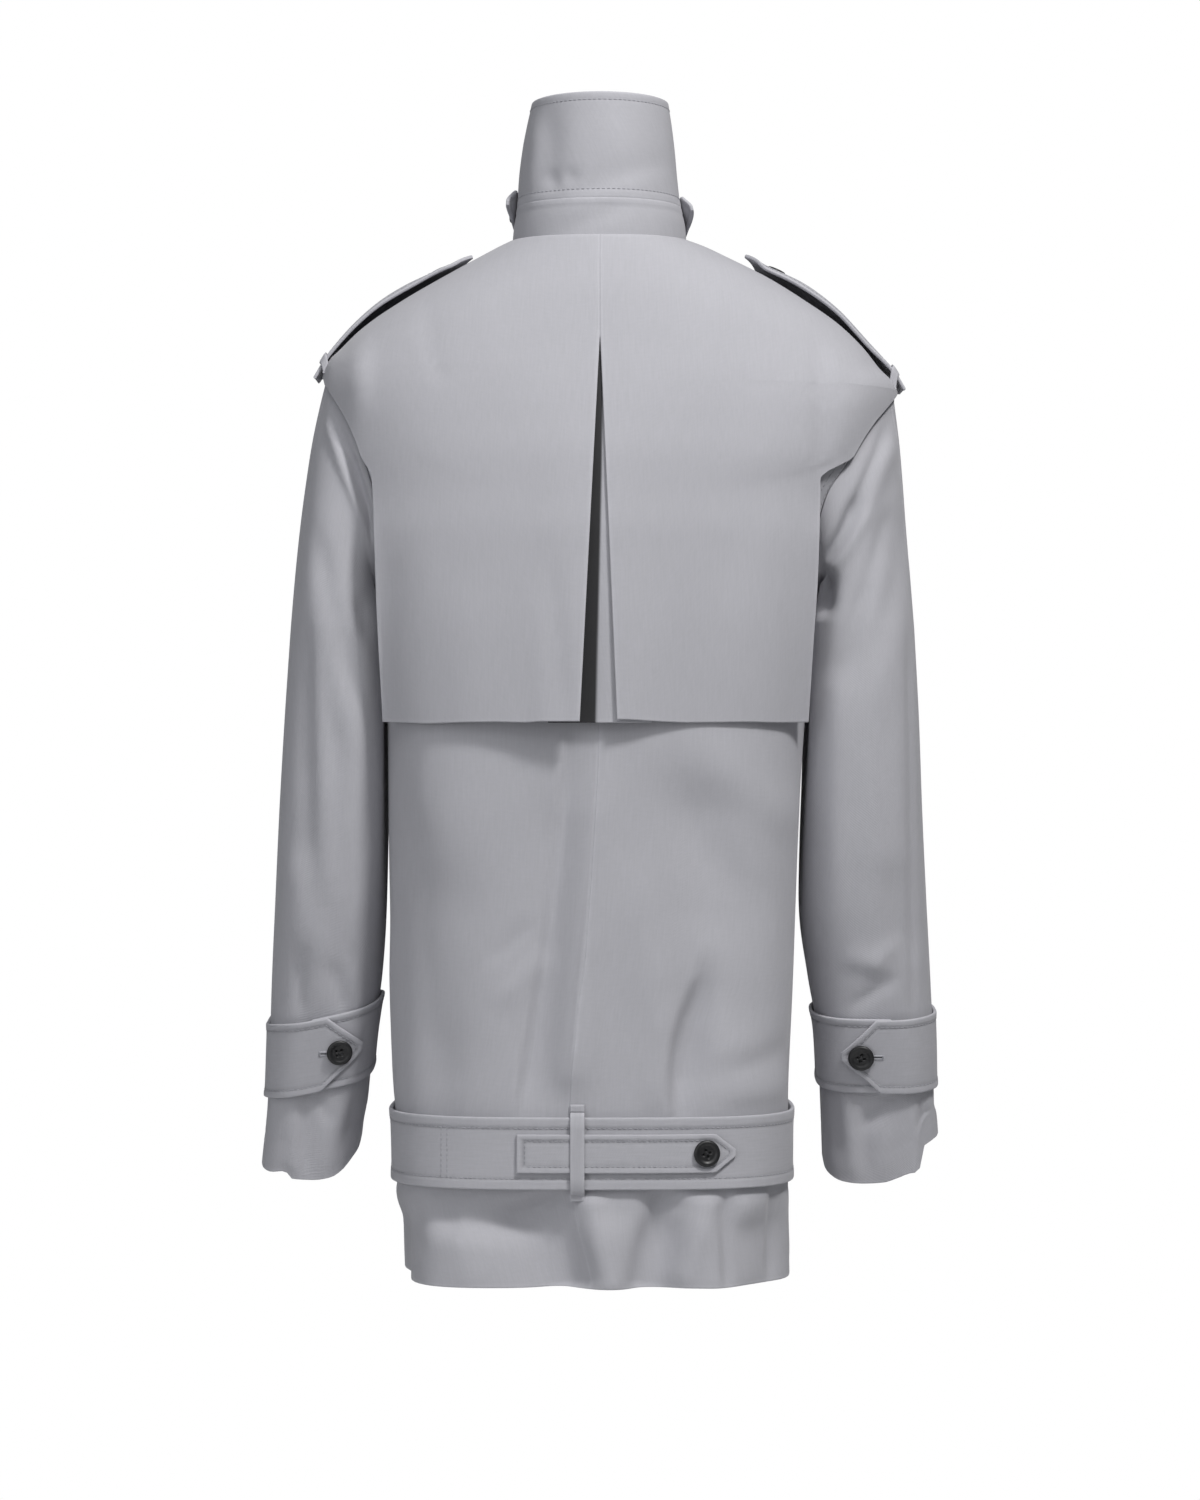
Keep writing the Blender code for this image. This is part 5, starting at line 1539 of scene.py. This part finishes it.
# %% [markdown]
# ## Cuff straps
# A wide strap goes once round each sleeve, and its pointed end laps over its start at the
# back, where a button holds it. It stands a little off the sleeve, which puffs out above and below.

# %% Straps round the sleeves
CUFF_HALF = 30
CUFF_POINT = 30          # how many degrees long its pointed end is
CUFF_SLANT = {LEFT: (-5, 12), RIGHT: (-5, 0.5)}  # how much lower it lies at the back and outside
CUFF_TIP = {LEFT: 125, RIGHT: 120}
CUFF_BUTTON = {LEFT: 107, RIGHT: 105}
CUFF_HOLE = {LEFT: 100.5, RIGHT: 96.5}
CUFF_LIFT = 1.1


def cuff_down(side, around, below):
    """The sleeve's down coordinate on the slanting cuff strap, some way below its middle."""
    at_back, outside = CUFF_SLANT[side]
    angle = np.radians(around)
    return sleeve_down(CUFF_MIDDLE[side] + below + at_back * np.sin(angle) + outside * np.cos(angle))


def cuff_spot(side, around):
    """The middle of a cuff strap's outer face at an angle, its outward direction and its down."""
    down = cuff_down(side, np.float64(around), 0)
    normal = sleeve_normal(side, np.float64(around), down)
    return sleeve_point(side, around, down) + normal * (CUFF_LIFT + 2 * DOUBLED + 0.5), normal, down


def cuff_surface(side):
    """The inner face of a cuff strap and its normal, from its start to its pointed end."""
    tip, start = CUFF_TIP[side] + 360, CUFF_TIP[side] - 42
    share, across = np.meshgrid(shares(400, 3.0), 2 * shares(60, 2.8) - 1)
    around = start + (tip - start) * share
    down = cuff_down(side, around, across * pointed(tip - around, CUFF_POINT, 3, CUFF_HALF))
    lift = CUFF_LIFT + (DOUBLED + 0.5) * ramp(around, start + 360 - 34, start + 360 - 8)
    normal = sleeve_normal(side, around, down)
    return sleeve_point(side, around, down) + normal * lift[..., None], normal


for word, side in SIDES:
    inner, normal = cuff_surface(side)
    strap(f"cuff_strap_{word}", "band", inner + normal * DOUBLED, normal, DOUBLED, 6.0)

# %% [markdown]
# ## The belt, its tab and its loop
# The belt is a flat doubled band that sits low and holds the cloth in. At the centre back a loop is
# sewn over it, and a pointed tab is buttoned along it. Its edges ripple very slightly, because
# topstitched gabardine never lies quite flat.

# %% Belt, tab and loop
BELT_LIFT = 1.5
BELT_CLOTH = 2.6
BELT_START, BELT_END = 172, -212
TAB_START, TAB_END = 64, -103
TAB_CLOTH = 2.0
TAB_BUTTON = -81
BELT_LOOP_AT, BELT_LOOP_WIDTH, BELT_LOOP_CLOTH = 17.5, 11, 1.5
BELT_MIDDLE, TAB_MIDDLE = (BELT_TOP + BELT_BOTTOM) / 2, (TAB_TOP + TAB_BOTTOM) / 2
BELT_RADIUS = 140


def belt_surface():
    """The belt's inner face, its normal and its heights, from its start to its pointed end."""
    share, across = np.meshgrid(shares(900, 3.0), 2 * shares(56, 2.6) - 1)
    turn = BELT_START + (BELT_END - BELT_START) * share
    left_over = (turn - BELT_END) * math.radians(BELT_RADIUS)
    height = BELT_MIDDLE + across * pointed(left_over, 16, 9, (BELT_TOP - BELT_BOTTOM) / 2)
    lift = OVERLAP_LIFT * ramp(-turn, 118, 134) + (BELT_CLOTH + 0.5) * ramp(-turn, 160, 182)
    lift = lift + OVERLAP_LIFT * ramp(turn, 125, 143)
    return on_body(turn, height, BELT_LIFT + lift), body_normal(turn, height), height


def tab_surface():
    """The inner face of the tab on the belt, and its normal."""
    share, across = np.meshgrid(shares(TAB_START - TAB_END, 2.6), 2 * shares(30, 2.2) - 1)
    x = TAB_START + (TAB_END - TAB_START) * share
    height = TAB_MIDDLE + across * pointed(x - TAB_END, 15, 2.5, (TAB_TOP - TAB_BOTTOM) / 2)
    turn = np.where(x > 0, turn_at(LEFT, x, height), turn_at(RIGHT, x, height))
    return on_body(turn, height, BELT_LIFT + BELT_CLOTH + 0.4 + 0 * turn), body_normal(turn, height)


def belt_loop_surface():
    """The inner face of the loop over belt and tab, and its normal."""
    over = BELT_LIFT + BELT_CLOTH + 0.4 + TAB_CLOTH + 0.5
    profile = table(
        "height lift",
        (-756, 0.9), (-751, 0.9), (-747.8, 4.8), (-738, over), (-700, over), (-690, 4.8), (-688, 0.9),
        (-681, 0.9),
    )
    across = BELT_LOOP_AT + BELT_LOOP_WIDTH * (shares(BELT_LOOP_WIDTH, 1.2) - 0.5)
    x, height = np.meshgrid(across, np.linspace(-756, -681, 76))
    turn = turn_at(LEFT, x, height)
    lift = read(profile, "lift", height)
    slope = np.gradient(lift, height[:, 0], axis=0)
    normal = unit(body_normal(turn, height) - vec(0, 0, slope))
    return on_body(turn, height, lift), normal


inner, normal, height = belt_surface()
wobble = 0.35 * np.sin(np.arange(inner.shape[1]) / 5.3)[None] * ((height - BELT_MIDDLE) / 28) ** 2
outer = inner + normal * (BELT_CLOTH + wobble)[..., None]
strap("belt", "band", outer, normal, BELT_CLOTH, 8.5, roll=0.9)

inner, normal = tab_surface()
strap("belt_tab", "strap", inner + normal * TAB_CLOTH, normal, TAB_CLOTH, 5.0, roll=0.7)

inner, normal = belt_loop_surface()
outer = inner + normal * BELT_LOOP_CLOTH
strap("belt_loop", "strap", outer, normal, BELT_LOOP_CLOTH, roll=0.5, turned=False)

# %% [markdown]
# ## Topstitching
# Coat seams and straps are topstitched with a thread of nearly the cloth's own colour. Seen from
# two metres away a row still catches the light as a chain of dashes, so each stitch is a real
# little bar, sunk at both ends where the thread goes down into the cloth. A row follows a path on the piece's
# own surface, at the same distance from its edge all along.

# %% Rows of stitches
STITCH, STITCH_GAP, THREAD = 3.1, 0.95, 0.34


def along_path(points, normals, places):
    """Points and normals at distances along a path."""
    steps = np.linalg.norm(np.diff(points, axis=0), axis=-1)
    run = np.concatenate([[0], np.cumsum(steps)])
    at = np.stack([np.interp(places, run, points[:, k]) for k in range(3)], -1)
    up = np.stack([np.interp(places, run, normals[:, k]) for k in range(3)], -1)
    return at, unit(up)


def stitch_row(points, normals, thread, stitch):
    """Corners and faces of one row of stitches along a path."""
    length = np.linalg.norm(np.diff(points, axis=0), axis=-1).sum()
    count = int((length - 0.5) // (stitch + STITCH_GAP))
    first = (length - count * (stitch + STITCH_GAP) + STITCH_GAP) / 2
    starts = first + np.arange(count) * (stitch + STITCH_GAP)
    rings = []
    for share, fat, high in ((0, 0.35, -0.18), (0.22, 1, 0.16), (0.78, 1, 0.16), (1, 0.35, -0.18)):
        at, up = along_path(points, normals, starts + share * stitch)
        ahead, _ = along_path(points, normals, starts + share * stitch + 0.2)
        behind, _ = along_path(points, normals, starts + share * stitch - 0.2)
        side = unit(np.cross(up, ahead - behind + 1e-9))
        middle = at + up * high
        for over, beside in ((0.8, 0), (0, 1), (-0.8, 0), (0, -1)):
            rings.append(middle + (up * over + side * beside) * fat * thread)
    corners = np.stack(rings, 1)
    base = []
    for k in range(3):
        for m in range(4):
            n = (m + 1) % 4
            base.append((4 * k + m, 4 * k + n, 4 * k + 4 + n, 4 * k + 4 + m))
    base += [(3, 2, 1, 0), (12, 13, 14, 15)]
    faces = (np.array(base)[None] + 16 * np.arange(count)[:, None, None]).reshape(-1, 4)
    return corners.reshape(-1, 3), faces


def stitches(name, paths, material, slot, thread=THREAD, stitch=STITCH):
    """One piece made of the stitches along several paths, each given as points and normals."""
    corners, faces, total = [], [], 0
    for points, normals in paths:
        made, quads = stitch_row(points, normals, thread, stitch)
        corners.append(made)
        faces.append(quads + total)
        total += len(made)
    every = np.concatenate(corners)
    row = mesh_from(name, every, np.concatenate(faces), every[:, [0, 2]] * MM)
    print(f"{name}: {total // 16} stitches")
    dress(row, material, slot)


def inset(points, normals, distance):
    """The closed path that runs a distance inside the edges of a strap, through its pointed end."""
    left, right, first, last = edge_distances(points)
    middle = len(points) // 2
    usable = (first[-1] > 2 * distance + 0.8) & (left[middle] > distance) & (right[middle] > distance)
    columns = np.flatnonzero(usable)
    both = np.concatenate([points, normals], -1)

    def place(column, at):
        """The point and the normal at a distance from a column's first point."""
        return np.array([np.interp(at, first[:, column], both[:, column, k]) for k in range(6)])

    near = [place(j, distance) for j in columns]
    far = [place(j, first[-1, j] - distance) for j in columns[::-1]]
    ends = []
    for j, step in ((columns[-1], 1), (columns[0], -1)):
        across = np.linspace(distance, first[-1, j] - distance, 12)[1:-1]
        ends.append([place(j, at) for at in across[::step]])
    loop = np.array(near + ends[0] + far + ends[1] + near[:1])
    return [(loop[:, :3], loop[:, 3:])]


settings = {"Base Color": (0.33, 0.333, 0.365, 1), "Roughness": 0.62, "Sheen Weight": 0.2}
coat_thread, tree, shader = new_material("thread", settings)
twist = add_group(tree, twill, on_cloth(tree), {"Ribs per Metre": 2600.0})
add_bump(tree, twist.outputs["Height"], 0.25, 0.0002)

# %% Stitched rows on the collar, the straps and the belt
turn = np.linspace(-175, 175, 400)
heights = (COLLAR_HEIGHT - 6.3, STAND_HEIGHT + SEAM + 6.5)
rows = [worn_collar(turn, np.full(turn.shape, up)) for up in heights]
stitches("collar_topstitching", rows, coat_thread, "strap_cloth")

for name, (points, normals, distance) in strap_faces.items():
    stitches(f"{name}_topstitching", inset(points, normals, distance), coat_thread, "strap_cloth")

# %% The armholes and the belt's join
rows = []
around = np.linspace(12, 150, 260)
for side in (LEFT, RIGHT):
    for out in (2.2, 8.2):
        edge, _ = armhole_point(side, around)
        wanted = edge - off_seam(side, around) * out
        y, z = wanted[:, 1], wanted[:, 2]
        turn = side * bearing(body_side(side, y, z), y)
        rows.append(worn_body(turn, z))
stitches("armhole_topstitching", rows, coat_thread, "strap_cloth")

rows = []
height = np.linspace(BELT_BOTTOM + 3, BELT_TOP - 3, 40)
for x in (117.0, 121.5):
    turn = turn_at(LEFT, x + 0 * height, height)
    rows.append((on_body(turn, height, BELT_LIFT + BELT_CLOTH + 0 * turn), body_normal(turn, height)))
stitches("belt_join_topstitching", rows, coat_thread, "strap_cloth")

# %% [markdown]
# ## Buttonholes
# A buttonhole is a slit with close stitches all round it. On the straps they show as short dark
# lines with a raised border. The dark line is painted shade, a near-black sheet laid in the slit.
# The border is a ring with fine ripples, one for each stitch.

# %% Buttonholes
# Painted shade: a near-black colour for the shade inside a buttonhole's slit.
dark, tree, shader = new_material("slit", {"Base Color": (0.03, 0.03, 0.033, 1), "Roughness": 0.9})


def buttonhole(name, centre, along, up, length):
    """A worked slit, lying on the cloth at a place, with its long side in a direction."""
    along = unit(along - up * np.dot(along, up))
    beside = np.cross(up, along)
    steps = 120
    angle = np.linspace(0, 2 * math.pi, steps, endpoint=False)
    profile = ((0.35, -0.1), (0.6, 0.42), (1.3, 0.55), (1.95, 0.3), (2.2, -0.2))
    points = []
    for wide, high in profile:
        ripple = 0.08 * np.sin(angle * steps / 2.5) if high > 0 else 0 * angle
        bend = np.clip(np.cos(angle) * length, -length / 2 + 1, length / 2 - 1)
        x = bend + wide * np.cos(angle)
        y = wide * np.sign(np.sin(angle)) * np.minimum(1, 1.6 * abs(np.sin(angle)))
        points.append(centre + x[:, None] * along + y[:, None] * beside + (high + ripple)[:, None] * up)
    every = np.concatenate(points)
    faces = quads_of(numbered(len(profile), steps, True))[:, ::-1]
    ring = mesh_from(name, every, faces, every[:, [0, 2]] * MM)
    dress(ring, coat_thread, "strap_cloth")
    half = length / 2 - 0.4
    ends = ((-half, -0.5), (half, -0.5), (half, 0.5), (-half, 0.5))
    # the slit: a near-black sheet of painted shade, just above the cloth
    corners = np.array([centre + a * along + b * beside + 0.16 * up for a, b in ends])
    slit = mesh_from(f"{name}_slit", corners, np.array([[0, 1, 2, 3]]), corners[:, [0, 2]] * MM)
    dress(slit, dark, "black_button")


for word, side in SIDES:
    around = CUFF_HOLE[side]
    centre, up, down = cuff_spot(side, around)
    along = sleeve_point(side, around + 4, down) - sleeve_point(side, around - 4, down)
    buttonhole(f"cuff_buttonhole_{word}", centre, along, up, 17.0)
turn = -180 - math.degrees(math.atan2(BUTTON_COLUMN + 6, FRONT_DEPTH))
for number, height in enumerate(BUTTON_ROWS):
    up = body_normal(turn, height + FRONT_DIP)
    centre = body_point(turn, height + FRONT_DIP) + up * OVERLAP_LIFT
    buttonhole(f"front_buttonhole_{number + 1}", centre, np.array([1.0, 0, 0]), up, 24.0)

# %% [markdown]
# ## Buttons
# The buttons are black, matte and turned, with a raised rim and four holes, sewn on with a cross of
# black thread. Each is one surface of revolution; the holes are pressed into its middle. A button
# takes the very place of its solid.

# %% A turned button with four holes
settings = {"Base Color": (0.013, 0.013, 0.014, 1), "Specular IOR Level": 0.45}
black, tree, shader = new_material("matte_black", settings)
cloud = add_group(tree, mottle, on_object(tree), {"Scale": 260.0, "Strength": 0.3})
tree.links.new(maths(tree, "MULTIPLY", cloud.outputs["Tone"], 0.42), shader.inputs["Roughness"])
add_bump(tree, cloud.outputs["Height"], 0.12, 0.0002)
settings = {"Base Color": (0.02, 0.02, 0.022, 1), "Roughness": 0.7}
black_thread, tree, shader = new_material("black_thread", settings)

BUTTON_STEPS = 56
BUTTON_RADII, BUTTON_HEIGHTS = np.array((
    (0.05, 0.66), (0.12, 0.66), (0.2, 0.66), (0.27, 0.66), (0.34, 0.66), (0.42, 0.66), (0.52, 0.66),
    (0.6, 0.7), (0.66, 0.82), (0.72, 0.93), (0.8, 1.0), (0.88, 0.97), (0.95, 0.84), (0.99, 0.66),
    (1.0, 0.5), (0.98, 0.3), (0.93, 0.08), (0.86, 0.0), (0.4, 0.0), (0.05, 0.0),
)).T[..., None]
HOLLOW_ROWS = 8  # the profile's first points, into which the four holes are pressed


def turned_button(name, node, place, facing, radius, high, spin):
    """A button in the place of its solid, with four holes and crossed thread."""
    angle = np.linspace(0, 2 * math.pi, BUTTON_STEPS, endpoint=False)
    r, z = BUTTON_RADII * radius + 0 * angle, BUTTON_HEIGHTS * high + 0 * angle
    x, y = r * np.cos(angle), r * np.sin(angle)
    for k in range(4):
        hx, hy = (0.24 * radius * f(math.radians(45 + 90 * k)) for f in (math.cos, math.sin))
        away = np.hypot(x - hx, y - hy)[:HOLLOW_ROWS]
        z[:HOLLOW_ROWS] -= 0.55 * high * (1 - ramp(away, 0.08 * radius, 0.125 * radius))
    index = numbered(*x.shape, True)
    caps = []
    for row, order in ((0, 1), (-1, -1)):
        ring = index[row, :-1][::order]
        for k in range(0, BUTTON_STEPS - 2, 2):
            last = BUTTON_STEPS - 1
            caps.append((ring[0], ring[k + 1], ring[min(k + 2, last)], ring[min(k + 3, last)]))
    turn = np.array(Vector(facing).to_track_quat("Z", "Y").to_matrix() @ Matrix.Rotation(spin, 3, "Z"))
    points = vec(x, y, z).reshape(-1, 3) @ turn.T + place
    mesh = bpy.data.meshes.new(name)
    quads = quads_of(index)[:, [0, 3, 2, 1]].tolist() + [list(dict.fromkeys(cap)) for cap in caps]
    mesh.from_pydata((points * MM).tolist(), [], [q for q in quads if len(q) > 2])
    mesh.shade_smooth()
    made = bpy.data.objects.new(name, mesh)
    bpy.context.scene.collection.objects.link(made)
    dress(made, black, "black_button", node)
    paths = []
    run = np.linspace(0, 1, 9)[:, None]
    for ax, ay in ((0.24, 0.24), (0.24, -0.24)):
        flat = np.array([(ax, ay)]) * radius * math.cos(math.radians(45)) * (1 - 2 * run)
        rise = high * (0.5 + 0.32 * np.sin(math.pi * run))
        path = np.concatenate([flat, rise], 1) @ turn.T + place
        paths.append((path, np.repeat(turn[:, 2][None], 9, 0)))
    long = np.linalg.norm(np.diff(path, axis=0), axis=-1).sum()
    stitches(f"{name}_thread", paths, black_thread, "black_button", 0.45, long - 1.6)


# %% All the buttons
big, small = (BUTTON_RADIUS, BUTTON_HEIGHT), (SMALL_BUTTON_RADIUS, SMALL_BUTTON_HEIGHT)
across = math.degrees(math.atan2(BUTTON_COLUMN, FRONT_DEPTH))
columns = [(side * (180 - across), height + FRONT_DIP) for side in (LEFT, RIGHT) for height in BUTTON_ROWS]
spots = [(f"front_button_{i + 1}", *at, OVERLAP_LIFT + SEAM) for i, at in enumerate(columns)]
lift = BELT_LIFT + 2 * BELT_CLOTH + OVERLAP_LIFT + 0.5 + SEAM
spots.append(("belt_front_button", BELT_END + 9.5, BELT_MIDDLE, lift))
lift = BELT_LIFT + BELT_CLOTH + 0.4 + TAB_CLOTH + SEAM
spots.append(("belt_tab_button", turn_at(RIGHT, TAB_BUTTON, TAB_MIDDLE), TAB_MIDDLE, lift))
places = []
for name, turn, height, lift in spots:
    places.append((name, body_point(turn, height), body_normal(turn, height), lift, big))
for word, side in SIDES:
    point, normal, _ = cuff_spot(side, CUFF_BUTTON[side])
    places.append((f"cuff_button_{word}", point, normal, SEAM, big))
    point, normal = collar_point(side * 99, 30), collar_normal(side * 99, 30)
    places.append((f"throat_button_{word}", point, normal, 1.1 + DOUBLED, small))
    x = EPAULETTE[side]["x"][0] + EPAULETTE_BUTTON
    point, (_, up) = worn_strap(side, x, np.float64(0)), strap_slope(epaulette_point, side, x)
    places.append((f"epaulette_button_{word}", point, up, DOUBLED + SEAM, small))
for number, (name, point, normal, lift, (radius, high)) in enumerate(places):
    spin = math.radians((37 * number) % 90)
    turned_button(f"{name}_turned", name, point + normal * lift, normal, radius, high, spin)
print("buttons:", len(places))

# %% [markdown]
# ## The floor and the last checks
# A pale plain floor lies well below the hem.

# %% Floor
bpy.ops.mesh.primitive_circle_add(vertices=96, radius=1.6, fill_type="NGON", location=(0, 0, -1.5))
floor = bpy.context.object
floor.name = "floor"
pale, tree, shader = new_material("pale_floor", {"Roughness": 0.9})
cloud = add_group(tree, mottle, on_object(tree), {"Scale": 1.5, "Strength": 0.02})
tone = maths(tree, "MULTIPLY", cloud.outputs["Tone"], 0.86)
tree.links.new(grey_of(tree, tone), shader.inputs["Base Color"])
floor.data.materials.append(pale)
floor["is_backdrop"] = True

# %% Sizes
dressed_box = [list(map(float, corner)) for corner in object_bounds()]
growth = [round(1000 * (d - s), 1) for a, b in zip(solid_box, dressed_box) for s, d in zip(a, b)]
print("growth in mm, low and high:", growth)
